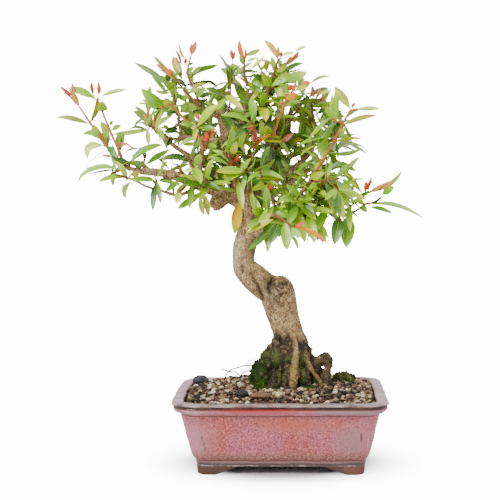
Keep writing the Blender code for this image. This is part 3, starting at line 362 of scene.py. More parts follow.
# Leafy shoots: the young stem's points as [x, depth y, z], the first one on the wood, then the length
# of its leaves, and how many pairs of leaves it has besides those that the front view shows.
SHOOTS = {
    "far_left_tall": (
        [(-189, -9, 362), (-191, -9, 373), (-198, -10, 389), (-205, -12, 406), (-212, -14, 424),
         (-217, -15, 436)], 36, 0),
    "far_left_pink": ([(-208, -16, 382), (-217, -19, 397), (-227, -22, 411), (-240, -24, 431)], 34, 0),
    "far_left_low": ([(-186, -9, 359), (-194, -24, 353), (-203, -38, 350)], 38, 0),
    "left_tip": ([(-184, -19, 345), (-190, -26, 347), (-197, -34, 349)], 34, 0),
    "left_ridge": ([(-164, -5, 353), (-163, 0, 363), (-160, 6, 373)], 36, 1),
    "left_bud": ([(-115, -4, 349), (-119, -12, 354), (-122, -18, 360)], 30, 0),
    "left_under": ([(-109, -2, 340), (-114, -16, 333), (-121, -28, 328)], 30, 0),
    "left_whorl": ([(-138, 31, 394.5), (-147, 29, 398), (-153, 28, 407)], 36, 0),
    "left_upright": ([(-122, 27, 418), (-124, 26, 433), (-125, 24, 446), (-121, 22, 460)], 42, 1),
    "left_tan": ([(-96, 5, 429), (-107, 0, 442), (-119, -5, 456), (-128, -9, 468)], 34, 0),
    "top_left": ([(-94, 7, 430), (-101, 12, 448), (-109, 14, 468), (-105, 15, 488)], 32, 0),
    "left_pink": ([(-91, -10, 378), (-97, -12, 396), (-113, -18, 414), (-130, -24, 432)], 38, 0),
    "left_coral": ([(-90, -11, 376), (-86, -18, 387), (-83, -22, 398)], 26, 0),
    "left_front": ([(-100, -49, 351), (-107, -60, 362), (-112, -68, 374)], 38, 2),
    "leader_top": ([(-67, 19, 408), (-60, 8, 425), (-58, 2, 447), (-57, 0, 468)], 32, 2),
    "top_orange": ([(-38, -5, 452), (-41, -8, 469), (-41, -10, 486)], 30, 0),
    "centre_top": ([(-14, 2, 440), (-12, 0, 453), (-6, -2, 468), (-1, -4, 483)], 36, 1),
    "centre_rise": ([(-10, -6, 386), (-4, -14, 404), (3, -20, 422), (10, -26, 441)], 30, 1),
    "mid_coral": ([(-31, -20, 376), (-29, -26, 388), (-31, -32, 401)], 28, 0),
    "mid_left": ([(-51, -23, 360), (-60, -34, 366), (-68, -46, 374)], 34, 1),
    "orange_tip": ([(-56, -19, 354), (-57, -26, 364), (-60, -36, 374)], 32, 0),
    "thin": ([(-17, -29, 336), (-22, -38, 346), (-24, -48, 356)], 34, 1),
    "right_back": ([(42, 50, 403), (40, 47, 416), (38, 44, 430)], 34, 2),
    "long_right": (
        [(35, -26, 338), (43, -29, 351), (51, -31, 362), (61, -33, 380), (72, -35, 400),
         (84, -37, 422)], 38, 0),
    "right_fan": ([(34, -25, 335), (44, -42, 338), (56, -56, 340)], 38, 1),
    "right_end": ([(82, -14, 305), (90, -15, 314), (100, -16, 322)], 42, 0),
    "right_tip": ([(96, -22, 306), (103, -26, 311), (112, -30, 312)], 50, 0),
    "right_hang": ([(63, -16, 303), (67, -28, 296), (72, -38, 290)], 36, 0),
    "front_low": ([(-5, -65, 298), (3, -75, 293), (12, -84, 287)], 36, 0),
    "front_left_low": ([(-15, -42, 294), (-20, -56, 290), (-26, -68, 287)], 36, 0),
    "right_stub": ([(16, -21, 309), (20, -38, 316), (24, -54, 322)], 32, 0),
    "back_left_end": ([(-141, 104, 394), (-150, 112, 406), (-158, 118, 419)], 36, 6),
    "back_left_mid": ([(-96, 72, 365), (-98, 88, 378), (-104, 100, 392)], 36, 7),
    "back_right_end": ([(55, 116, 364), (66, 122, 376), (76, 126, 390)], 36, 7),
    "back_right_mid": ([(7, 76, 336), (10, 94, 348), (8, 108, 362)], 36, 7),
    "back_top": ([(-45, 92, 420), (-40, 104, 436), (-34, 112, 452)], 36, 6),
    "back_right_low": ([(-9, 53, 319), (3, 60, 308), (16, 68, 302)], 36, 5),
    "back_leader": ([(-61, 46, 381), (-76, 62, 396), (-90, 74, 414)], 36, 7),
    "high_right": ([(11, 38, 410), (22, 46, 424), (30, 54, 438)], 32, 4),
}
MORE_KINDS = ("green", "dark", "green", "bluegreen", "dark", "bright", "olive")
FRONT_KINDS = (
    "bright", "green", "green", "yellowgreen", "dark", "bright", "greygreen", "lime", "dark", "green",
)
PINK_STEMS = {"left_pink", "long_right", "centre_rise", "far_left_tall", "far_left_pink"}
PINK_STEM = (214, 120, 66)
BROWN_STEM = (138, 88, 50)

# Leaves as the front view shows them, by shoot: kind, width, then the X and Z of each point from the
# leaf's foot to its end.
LEAVES = {
    "far_left_tall": [
        ("bright", 13, -212, 425, -213, 439), ("bright", 9, -221, 440, -253, 456),
        ("olive", 6, -227, 412, -218, 443), ("rust", 4, -223, 444, -225, 460),
        ("rust", 4, -216, 444, -215.5, 461), ("pale", 5, -213, 443, -198, 447, -183, 450),
        ("green", 6, -210, 388, -222, 408), ("green", 7, -213, 391, -225, 399, -236, 398),
        ("pale", 9, -212, 384, -225, 384, -231, 379, -231, 369), ("dark", 4, -207, 384, -204, 397),
        ("bluegreen", 8, -207, 383, -195, 371), ("olive", 4, -202, 370, -213, 373),
        ("bright", 6, -201, 402, -190, 410), ("green", 4, -203, 408, -200, 414),
        ("tan", 2.5, -198, 387, -190, 381, -186, 386, -172, 377),
    ],
    "far_left_pink": [
        ("ochre", 6, -240, 432, -251, 453), ("crimson", 4, -250, 441, -263, 456),
        ("crimson", 4, -250, 443, -256, 449), ("brown", 4, -245, 445, -248, 459),
        ("olive_pale", 6, -229, 410, -255, 417, -268, 418), ("lime", 10, -220, 397, -223, 410),
    ],
    "far_left_low": [
        ("greygreen", 6, -193, 355, -212, 358, -228, 354, -238, 348, -243, 340),
        ("bright", 6, -186, 345, -200, 346, -218, 341), ("dark", 8, -180, 362, -200, 368),
    ],
    "left_tip": [
        ("pale", 7, -184, 342, -198, 366), ("green", 6, -180, 340, -187, 330, -186, 320),
        ("olive", 8, -178, 348, -168, 351),
    ],
    "left_ridge": [
        ("green", 8, -180, 363, -165, 376, -150, 382, -140, 384), ("dark", 8, -172, 356, -164, 367),
        ("brown", 3, -163, 368, -163, 376), ("green", 7, -160, 361, -148, 371, -132, 378),
    ],
    "left_bud": [
        ("orange", 5, -118, 350, -120, 358), ("green", 6, -122, 345, -145, 343),
        ("dark", 8, -103, 363, -125, 369, -145, 366),
    ],
    "left_under": [
        ("green", 7, -120, 341, -137, 330), ("bright", 7, -112, 338, -125, 325),
        ("pale", 9, -121, 326, -124, 316),
    ],
    "left_whorl": [
        ("olive", 4, -157, 407, -163, 422), ("yellowgreen", 8, -157, 408, -161, 417),
        ("coral", 4, -156, 412, -157, 427), ("coral", 4, -154, 413, -153, 422),
        ("ochre", 4, -149, 405, -149, 423), ("yellowgreen", 6, -158, 403, -157, 384),
        ("pale", 6, -155, 402, -180, 398, -200, 397), ("dark", 3, -160, 403, -172, 405, -180, 403),
        ("dark", 7, -148, 406, -141, 428), ("green", 6, -147, 407, -131, 420),
        ("bright", 7, -146, 402, -138, 392), ("dark", 8, -122, 403, -138, 400),
        ("bright", 5, -133, 403, -139, 408),
    ],
    "left_upright": [
        ("greygreen", 9, -120, 422, -150, 433, -164, 438), ("green", 7, -127, 432, -152, 438),
        ("bluegreen", 7, -120, 420, -158, 432), ("bright", 13, -118, 423, -103, 434),
        ("greygreen", 7, -129, 452, -150, 470, -172, 482), ("olive", 4, -130, 446, -148, 449),
        ("dark", 4, -117, 454, -95, 459, -80, 459, -73, 450), ("bright", 6, -118, 440, -105, 441),
        ("dark", 6, -118, 405, -100, 393), ("bright", 7, -114, 452, -107, 441),
    ],
    "left_tan": [
        ("dark", 6, -130, 460, -136, 468), ("orange", 6, -127, 463, -137, 478),
        ("crimson", 4, -137, 473, -146, 480), ("olive", 5, -107, 446, -98, 453, -86, 456),
        ("olive", 5, -107, 445, -89, 450), ("green", 7, -100, 440, -88, 452),
        ("dark", 6, -97, 440, -80, 446), ("green", 6, -122, 459, -129, 475),
    ],
    "top_left": [
        ("yellow", 10.5, -116, 462, -126, 488.5), ("rust", 3, -117, 480, -123, 497),
        ("olive", 3, -111, 484, -119, 505), ("crimson", 4, -112, 480, -110, 487),
        ("orange", 6, -104, 490, -98, 508), ("brown", 3, -107, 478, -102, 482),
        ("green", 6, -108, 462, -95, 473, -72, 478), ("olive", 5, -105, 467, -92, 477),
        ("green", 5, -112, 468, -101, 477),
    ],
    "left_pink": [
        ("yellowgreen", 10, -132, 432, -137, 440), ("pale", 6, -108, 411, -97, 400),
        ("dark", 6, -128, 392, -135, 382), ("bright", 5, -100, 392, -120, 385),
        ("yellowgreen", 5, -96, 384, -115, 384), ("coral", 3, -97, 413, -96, 421),
    ],
    "left_coral": [
        ("coral", 5, -86, 388, -88, 400), ("coral", 4, -82, 392, -78, 402),
        ("orange", 4, -84, 390, -83, 404), ("coral", 4, -86, 387, -94, 394),
        ("green", 6, -86, 384, -75, 381),
    ],
    "left_front": [("bright", 9, -100, 360, -95, 375), ("pale", 5, -98, 358, -115, 352)],
    "leader_top": [
        ("dark", 8, -60, 450, -62, 482), ("green", 6, -54, 458, -54, 478), ("olive", 3, -62, 472, -71, 491),
        ("coral", 4, -55, 483, -57, 497), ("coral", 4, -55, 483, -52, 494),
        ("yellowgreen", 4, -52, 466, -38, 455, -20, 434), ("bright", 7, -60, 424, -28, 418),
    ],
    "top_orange": [
        ("orange", 6, -41, 482, -47, 508), ("bright", 6, -40, 488, -22, 497),
        ("green", 5, -43, 478, -46, 490), ("pale", 4, -38, 482, -26, 486), ("pale", 4, -34, 472, -17, 487),
        ("dark", 6, -32, 452, -20, 447),
    ],
    "centre_top": [
        ("bright", 10, -10, 452, -20, 468), ("bright", 9, -9, 452, 18, 468),
        ("greygreen", 12, 8, 458, 33, 469), ("olive", 7, -15, 470, -15, 484),
        ("dark", 7, -20, 460, -31, 468), ("green", 6, -18, 452, -33, 458),
        ("yellowgreen", 4, -20, 447, -35, 434), ("greygreen", 6, -6, 450, 6, 437),
        ("yellowgreen", 7, -8, 438, 4, 423), ("olive_yellow", 7, -1, 484, -17, 508),
        ("pink", 4, -1, 484, -1, 500), ("pink", 4, 2, 486, 4, 493), ("orange", 5, 8, 476, 24, 496),
        ("yellowgreen", 7, -2, 468, 10, 479), ("pale", 4, 4, 488, 18, 492), ("pale", 4, 20, 493, 33, 500),
        ("pale", 6, -12, 415, -38, 431),
    ],
    "centre_rise": [
        ("coral", 5, 12, 446, 15, 455), ("orange", 4, 16, 444, 20, 456),
        ("yellowgreen", 6, 20, 446, 36, 455), ("orange", 5, 28, 456, 38, 456),
        ("ochre", 8, 8, 436, 22, 443), ("green", 6, 3, 428, 25, 435), ("rust", 3, -12, 427, -12, 437),
        ("bright", 12, -14, 394, -15, 406), ("rust", 6, 2, 385, 16, 397),
    ],
    "mid_coral": [
        ("coral", 6, -29, 384, -29, 403), ("orange", 5, -30, 398, -38, 413),
        ("ochre", 5, -32, 375, -10, 398),
    ],
    "mid_left": [
        ("green", 6, -60, 385, -75, 381), ("greygreen", 5, -60, 362, -80, 378),
        ("greygreen", 5, -62, 360, -85, 372), ("yellowgreen", 8, -56, 372, -52, 388),
        ("bright", 6, -52, 378, -42, 402),
    ],
    "orange_tip": [("coral", 5, -57, 357, -61, 373), ("coral", 4, -56, 358, -49, 372)],
    "thin": [
        ("greygreen", 6, -30, 348, 5, 343), ("yellowgreen", 4, -28, 342, -5, 342),
        ("green", 5, -30, 352, -6, 366), ("orange", 5, -12, 328, -10, 338),
        ("yellowgreen", 4, -44, 322, -33, 330), ("dark", 5, -30, 322, -22, 329, -17, 322),
    ],
    "right_back": [
        ("rust", 5, 40, 438, 40, 452), ("tan", 4, 43, 436, 49, 450), ("dark", 4, 37, 433, 31, 443),
        ("rust", 3, 44, 431, 57, 439), ("pale", 4, 47, 441, 62, 446), ("pale", 4, 38, 455, 60, 465),
        ("greygreen", 5, 40, 427, 62, 432), ("greygreen", 5, 40, 427, 22, 423),
        ("dark", 5, 44, 418, 60, 427), ("olive", 5, 38, 402, 28, 411, 3, 409),
    ],
    "long_right": [
        ("yellowgreen", 10, 84, 425, 66, 452), ("pale", 5, 92, 423, 119, 425),
        ("crimson", 3, 86, 424, 90, 432), ("crimson", 3, 87, 423, 92, 424), ("olive", 6, 76, 405, 115, 418),
        ("green", 7, 73, 406, 70, 418, 60, 431), ("dark", 6, 69, 394, 60, 412),
        ("dark", 6, 66, 393, 52, 418), ("olive", 4, 66, 385, 98, 392), ("greygreen", 5, 60, 372, 100, 380),
        ("bright", 13, 52, 362, 51, 403), ("green", 4, 65, 391, 22, 381), ("pale", 6, 72, 395, 79, 402),
        ("green", 6, 23, 381, 26, 368, 32, 354), ("green", 6, 24, 381, 38, 370, 43, 354),
    ],
    "right_fan": [
        ("lime", 9, 36, 342, 53, 351), ("green", 7, 38, 335, 78, 337), ("green", 7, 35, 332, 72, 331),
        ("bluegreen", 4, 28, 322, 50, 329, 73, 329), ("dark", 7, 30, 322, 55, 322, 66, 315),
        ("brown", 4, 33, 331, 33, 338), ("dark", 7, 55, 348, 72, 357, 91, 350),
    ],
    "right_end": [
        ("yellowgreen", 7, 98, 324, 85, 343, 70, 357), ("orange", 5, 102, 325, 103, 339),
        ("coral", 3.5, 105, 326, 110, 344), ("tan", 7, 105, 324, 128, 332, 141, 341),
        ("green", 8, 122, 322, 136, 332), ("pale", 4, 128, 335, 145, 350), ("bright", 5, 93, 314, 102, 311),
    ],
    "right_tip": [
        ("greygreen", 5, 108, 311, 130, 310, 150, 304, 170, 294), ("green", 5, 107, 307, 134, 301),
        ("bright", 7, 97, 309, 104, 302), ("dark", 3, 107, 312, 122, 321),
    ],
    "right_hang": [
        ("dark", 14, 71, 297, 65, 263), ("green", 17, 82, 298, 79, 261), ("dark", 6, 62, 312, 78, 312),
        ("dark", 6, 50, 314, 66, 293),
    ],
    "front_low": [
        ("yellowgreen", 7, -8, 293, -40, 281), ("dark", 8, -5, 290, -18, 275, -38, 257),
        ("dark", 11, -2, 288, -12, 266), ("bright", 12, 6, 290, 8, 258), ("green", 5, 14, 284, 15, 272),
        ("green", 4, 12, 275, 21, 260), ("green", 6, 15, 283, 25, 272),
        ("ochre", 5, 15, 284, 35, 278, 57, 264), ("coral", 4, 18, 284, 29, 291),
        ("brown", 2, -14, 270, -20, 270), ("brown", 1.6, -14, 268, -16, 262, -15, 254),
    ],
    "front_left_low": [
        ("bright", 12, -18, 300, -33, 306), ("dark", 12, -20, 308, -24, 326),
        ("bright", 9, -48, 326, -88, 337), ("brown", 4, -42, 328, -42, 338),
    ],
    "right_stub": [
        ("bluegreen", 6, 20, 302, 45, 300), ("bright", 7, 20, 295, 40, 288, 55, 296),
        ("green", 6, 36, 284, 58, 297), ("lime", 6, 13, 345, -6, 373), ("lime", 5, 13, 344, 17, 321),
        ("green", 5, 14, 352, 22, 354, 30, 345), ("green", 4, 28, 354, 34, 343),
    ],
}
# A leaf's finish: the blade and its end.
BLADES = {
    "green": ((104, 160, 0), (132, 182, 10)), "bright": ((150, 206, 0), (184, 220, 20)),
    "lime": ((178, 222, 20), (204, 228, 60)), "yellowgreen": ((190, 214, 12), (214, 222, 50)),
    "dark": ((44, 92, 6), (66, 118, 10)), "bluegreen": ((44, 110, 42), (76, 142, 54)),
    "greygreen": ((104, 150, 52), (150, 188, 84)), "pale": ((172, 208, 70), (204, 226, 110)),
    "olive": ((140, 150, 8), (182, 160, 30)), "olive_pale": ((140, 156, 10), (216, 224, 160)),
    "olive_yellow": ((206, 170, 14), (236, 200, 40)), "yellow": ((176, 190, 0), (222, 180, 0)),
    "ochre": ((232, 164, 10), (240, 130, 24)), "orange": ((246, 124, 8), (248, 84, 24)),
    "tan": ((216, 148, 50), (230, 154, 60)), "coral": ((255, 48, 16), (255, 84, 36)),
    "crimson": ((214, 8, 36), (232, 34, 34)), "rust": ((176, 66, 16), (190, 78, 28)),
    "brown": ((124, 70, 28), (150, 86, 40)), "pink": ((238, 116, 62), (244, 140, 84)),
    "old": ((255, 200, 0), (170, 196, 10)),
}
UNDERSIDE = (176, 206, 84)
UNDERSIDE_SHARE = 0.35
# Leaves inside this middle and reach of the crown get darker colours as painted shade, those outside lighter
# ones as painted light.
CROWN_MIDDLE = (-30, 14, 385)
CROWN_CORE = (125, 26, 64)
CORE_PAINTED_SHADE = (0.6, 1.4)
OUTER_PAINTED_LIGHT = (1.12, 2.5)
SUN_TINT = (1.13, 1.0, 0.85)
# How far behind the pot's middle a fill leaf may end.
DEEPEST = 148.0
TIP_KINDS = ("coral", "orange", "crimson", "rust")
# How far painted light may lighten the kinds that keep their full colour.
MOST_PAINTED_LIGHT = {
    "orange": 1.15, "coral": 1.2, "crimson": 1.15, "rust": 1.4, "ochre": 1.2, "pink": 1.35,
    "bright": 1.25, "lime": 1.15, "yellow": 1.1, "yellowgreen": 1.25, "green": 1.8, "olive": 1.7,
}
TOWARDS_EYE = {"bright", "lime", "yellowgreen", "orange", "coral", "pale", "ochre"}

LEAF_ROWS = 7
LEAF_COLUMNS = 4
# The share of its width that a leaf has at each row, foot to end.
LEAF_OUTLINE = (0.1, 0.5, 0.84, 1.0, 0.99, 0.86, 0.6, 0.1)
LEAF_STEP = 1.5
LEAF_FOLD = 0.26
LEAF_ARCH = 0.1
LEAF_DROOP = 0.1
WIDTH_SHARE = 0.3
WIDEST_TURNED = 10.0
LEAST_WIDTH_SHARE = 0.36
MOST_TOWARDS_EYE = 24.0
DEPTH_SPREAD = 0.3
LIMB_CLOSER_BY = 6.0
STEM_STEP = 2.0
SHOOT_RADII = (1.8, 1.1)
PINK_RADII = (2.0, 1.3)
PETIOLE_RADIUS = 0.6
CROWN_DEPTHS = (-116.0, 156.0)

# Where short leafy spurs fill the crown, as seen: the middle (x, z), the reach in x and z, how far
# they come before and go behind the wood they grow on, and how many there are.
CLOUDS = [
    ((-32, 424), (72, 38), (-4, 44), 30), ((-120, 432), (30, 32), (-4, 30), 7),
    ((-22, 366), (78, 28), (-6, 46), 28), ((-132, 382), (46, 26), (-4, 34), 8),
    ((-198, 372), (16, 22), (-2, 20), 4), ((44, 326), (44, 30), (-6, 44), 20),
    ((52, 400), (24, 30), (-2, 36), 9), ((10, 296), (30, 10), (-8, 30), 6),
    ((-10, 462), (26, 16), (0, 26), 4), ((-36, 338), (40, 14), (-30, -8), 6),
    ((6, 308), (34, 9), (-26, -8), 6), ((56, 320), (30, 14), (-22, -4), 6),
    ((-150, 350), (34, 10), (-16, 4), 4), ((-50, 410), (60, 34), (-26, -6), 7),
    ((-96, 336), (16, 10), (-20, 0), 3), ((-20, 398), (96, 44), (12, 34), 16),
]
# Open places in the crown as the eye sees them, that no fill leaf crosses: middle and reach.
GAPS = [
    ((-146, 382), 9), ((-156, 364), 8), ((-118, 375), 8), ((-130, 360), 6), ((-174, 392), 12),
    ((-85, 466), 9), ((-130, 411), 6), ((-19, 494), 7), ((-98, 485), 7), ((20, 363), 6), ((20, 402), 5),
    ((-53, 442), 5), ((-5, 318), 4), ((-77, 412), 5), ((78, 366), 7), ((-57, 316), 11), ((-68, 396), 6),
    ((-40, 380), 4), ((52, 366), 5),
]
GOLDEN_ANGLE = math.pi * (3 - math.sqrt(5))
SPUR_PAIRS = 3
SPUR_LEAF = 35.0
SPUR_RADII = (1.2, 0.6)
SPUR_SHORTEST = 12.0

# Cushions of moss: the middle, the radii and the tufts, then their look, which is the way in X and Z
# that painted light makes brighter, how bright the rest is, and the bright colour.
MOSS = {
    "moss_left": ((-20.5, -22, 106), (18, 15, 25), 2200, (-0.6, -0.8), 0.25, (90, 132, 36)),
    "moss_right": ((76, 21, 96), (14.5, 12, 10), 800, (0.0, 1.3), 0.3, (150, 160, 76)),
    "moss_front": ((34, -31, 93), (9, 6, 6), 400, (0.0, 1.0), 0.0, (90, 132, 36)),
}
MOSS_CLUMP_LOOK = ((0.0, 1.0), 0.15, (90, 132, 36))
# Small clumps between the roots: the middle, then the radii.
MOSS_CLUMPS = [
    ((24.5, -23, 121), (4, 4, 7)), ((27, -29, 102), (4, 4, 5)), ((-6, -31, 122), (4, 3, 5)),
    ((39.5, -29, 92), (4, 4, 3.5)), ((-6, -35, 94), (5, 4, 4)),
]
CLUMP_TUFTS = 130
MOSS_FLECK = (170, 160, 120)
MOSS_DULL = (44, 40, 30)

# The stone and the chips on the soil: the place, the radii and the turn, and the chips' two colours.
SUNK = 0.8
STONE = ((-101.5, 45), (10.6, 8, 6.4), 0.3)
CHIPS = {
    "bark_chip_dark": ((-44.5, -59), (7.2, 7.2, 4.8), 0.5, (30, 36, 32), (56, 62, 50)),
    "bark_chip_long": ((-23, -68), (13.2, 5.4, 3.8), -0.1, (84, 58, 48), (150, 110, 76)),
    "bark_chip_pale": ((-1.6, -68), (4.5, 3.2, 4), 0.9, (206, 180, 116), (238, 222, 170)),
}
STALKS = {
    "dry_stalk_long": [(-70, 30, 96), (-64, 24, 109.5), (-50, 12, 115), (-42, 2, 117), (-33, -14, 116)],
    "dry_stalk_short": [(-51, 22, 97), (-48, 10, 106), (-42, -4, 110), (-32, -16, 110)],
    "dry_stalk_leaning": [(-46, 34, 98), (-54, 36, 108), (-63, 38, 109.5), (-73, 40, 113)],
}
STALK_RADIUS = 0.95
ROOTLETS = [
    [(21, -72, 83), (24, -76, 80), (28, -79, 73)], [(39, -62, 89), (44, -68, 86), (50, -74, 81)],
    [(51, -48, 93), (53, -54, 90), (56, -60, 85)],
]
ROOTLET_RADIUS = 0.45
STRAND_STEP = 1.5
OLD_LEAF_FOOT = (-43, 5, 315)
OLD_LEAF = [(-47.5, 0, 314), (-52, -8, 298), (-54.5, -14, 276.5)]
OLD_LEAF_WIDTH = 12.6
OLD_LEAF_FACE = (0.25, -1.0, 0.1)
OLD_LEAF_STEM = (200, 160, 60)


def linear(colour):
    """A colour given as a screen shows it, 0 to 255, as the light values that a shader takes."""
    shares = [value / 255 for value in colour]
    return tuple(
        share / 12.92 if share <= 0.04045 else ((share + 0.055) / 1.055) ** 2.4 for share in shares)


def seen(x, y, z):
    """The point at depth y that the eye sees at (x, z) of the upright plane through the pot's middle."""
    k = 1.0 + y / EYE_DISTANCE
    return Vector((EYE_X + (x - EYE_X) * k, y, EYE_HEIGHT + (z - EYE_HEIGHT) * k))


def front_spots(places):
    """Where the eye sees places on that upright plane, as rows of (x, z)."""
    eye = np.array((EYE_X, EYE_HEIGHT))
    return eye + (places[:, ::2] - eye) / (1.0 + places[:, 1:2] / EYE_DISTANCE)


def smooth(value, low, high):
    share = min(1.0, max(0.0, (value - low) / (high - low)))
    return share * share * (3 - 2 * share)


def rough(place, scale, octaves=3, softness=1.0):
    return noise.fractal(Vector(place) * scale, softness, 2.0, octaves)


def smooth_path(points, step):
    """A Catmull-Rom curve through points of any number of values, with a point about every step."""
    rows = [Vector(p) for p in points]
    rows = [rows[0] * 2 - rows[1], *rows, rows[-1] * 2 - rows[-2]]
    path = []
    for a, b, c, d in zip(rows, rows[1:], rows[2:], rows[3:]):
        pieces = max(1, round((Vector(c[:3]) - Vector(b[:3])).length / step))
        for i in range(pieces):
            t = i / pieces
            path.append(0.5 * (
                2 * b + (c - a) * t + (2 * a - 5 * b + 4 * c - d) * t ** 2
                + (3 * b - a - 3 * c + d) * t ** 3
            ))
    path.append(rows[-2])
    return path


def deselect_all():
    if bpy.context.object and bpy.context.object.mode != "OBJECT":
        bpy.ops.object.mode_set(mode="OBJECT")
    bpy.ops.object.select_all(action="DESELECT")


def pick(*objects):
    """Selects these objects alone, the first one active."""
    deselect_all()
    for obj in objects:
        obj.select_set(True)
    bpy.context.view_layer.objects.active = objects[0]


def join(objects):
    pick(*objects)
    if len(objects) > 1:
        bpy.ops.object.join()
    return bpy.context.object


def apply_modifier(obj, kind, **settings):
    modifier = obj.modifiers.new(kind.title(), kind)
    for key, value in settings.items():
        setattr(modifier, key, value)
    pick(obj)
    bpy.ops.object.modifier_apply(modifier=modifier.name)


@contextmanager
def editing(obj, test=None):
    """Edit mode, with the vertices selected whose place passes the test, or with all of them."""
    pick(obj)
    bpy.ops.object.mode_set(mode="EDIT")
    bpy.ops.mesh.select_mode(type="VERT")
    bpy.ops.mesh.select_all(action="DESELECT" if test else "SELECT")
    if test:
        bpy.ops.object.mode_set(mode="OBJECT")
        for vert in obj.data.vertices:
            vert.select = test(vert.co)
        bpy.ops.object.mode_set(mode="EDIT")
    yield
    bpy.ops.object.mode_set(mode="OBJECT")


def close_ring(obj, test):
    """One face over the ring of vertices whose place passes the test."""
    with editing(obj, test):
        bpy.ops.mesh.edge_face_add()


def clean_skin(obj, merge=0.002):
    """Merges doubles and turns the faces outwards."""
    with editing(obj):
        bpy.ops.mesh.remove_doubles(threshold=merge)
        bpy.ops.mesh.normals_make_consistent(inside=False)


def tubes(paths, rounds):
    """One mesh of closed tubes along paths of (x, y, z, radius)."""
    deselect_all()
    bpy.ops.curve.primitive_nurbs_path_add(location=(0, 0, 0))
    curve = bpy.context.object.data
    curve.splines.clear()
    for path in paths:
        spline = curve.splines.new("POLY")
        spline.points.add(len(path) - 1)
        for point, (x, y, z, radius) in zip(spline.points, path):
            point.co = (x, y, z, 1.0)
            point.radius = radius
    curve.bevel_depth = 1.0
    curve.bevel_resolution = rounds
    curve.use_fill_caps = True
    bpy.ops.object.convert(target="MESH")
    obj = bpy.context.object
    clean_skin(obj)
    return obj


def coordinates(mesh):
    places = np.empty(len(mesh.vertices) * 3, np.float32)
    mesh.vertices.foreach_get("co", places)
    return places.reshape(-1, 3).astype(float)


def directions(mesh):
    return np.array([vert.normal for vert in mesh.vertices])


def move_verts(mesh, places):
    mesh.vertices.foreach_set("co", np.asarray(places, np.float32).ravel())
    mesh.update()


def paint(mesh, name, colours):
    """Writes a colour with four values for each vertex."""
    layer = mesh.attributes.new(name, "FLOAT_COLOR", "POINT")
    layer.data.foreach_set("color", np.asarray(colours, np.float32).ravel())


def shape_of(obj):
    """The places and faces of a pattern that is copied many times. Its own object is removed."""
    shape = coordinates(obj.data), [tuple(polygon.vertices) for polygon in obj.data.polygons]
    bpy.data.objects.remove(obj, do_unlink=True)
    return shape


class Heap:
    """Collects many small shapes, with their colours, for one mesh."""

    def __init__(self):
        self.verts, self.faces, self.colours = [], [], []
        self.count = 0

    def add(self, verts, faces, colour):
        """Adds a shape in one colour, or with a colour for each vertex."""
        self.verts.append(verts)
        self.faces += [tuple(i + self.count for i in face) for face in faces]
        self.colours.append(np.broadcast_to(colour, (len(verts), 4)))
        self.count += len(verts)

    def piece(self, name, tint):
        mesh = bpy.data.meshes.new(name)
        mesh.from_pydata(np.concatenate(self.verts).tolist(), [], self.faces)
        paint(mesh, tint, np.concatenate(self.colours))
        obj = bpy.data.objects.new(name, mesh)
        bpy.context.scene.collection.objects.link(obj)
        return obj


def finish_piece(obj, name, finish=None, replaced=None, smooth_below=None):
    """Puts a piece's mesh in its place in the frame, names it, gives it its finish and hides the part that
    it replaces.
    """
    mesh = obj.data
    mesh.transform(obj.matrix_world)
    obj.matrix_world = Matrix.Identity(4)
    mesh.transform(IN_FRAME)
    obj.name = name
    mesh.name = name
    if finish:
        mesh.materials.append(finish)
    mesh.shade_smooth()
    if smooth_below:
        mesh.set_sharp_from_angle(angle=math.radians(smooth_below))
    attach(obj, "root")
    if replaced:
        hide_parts(replaced)


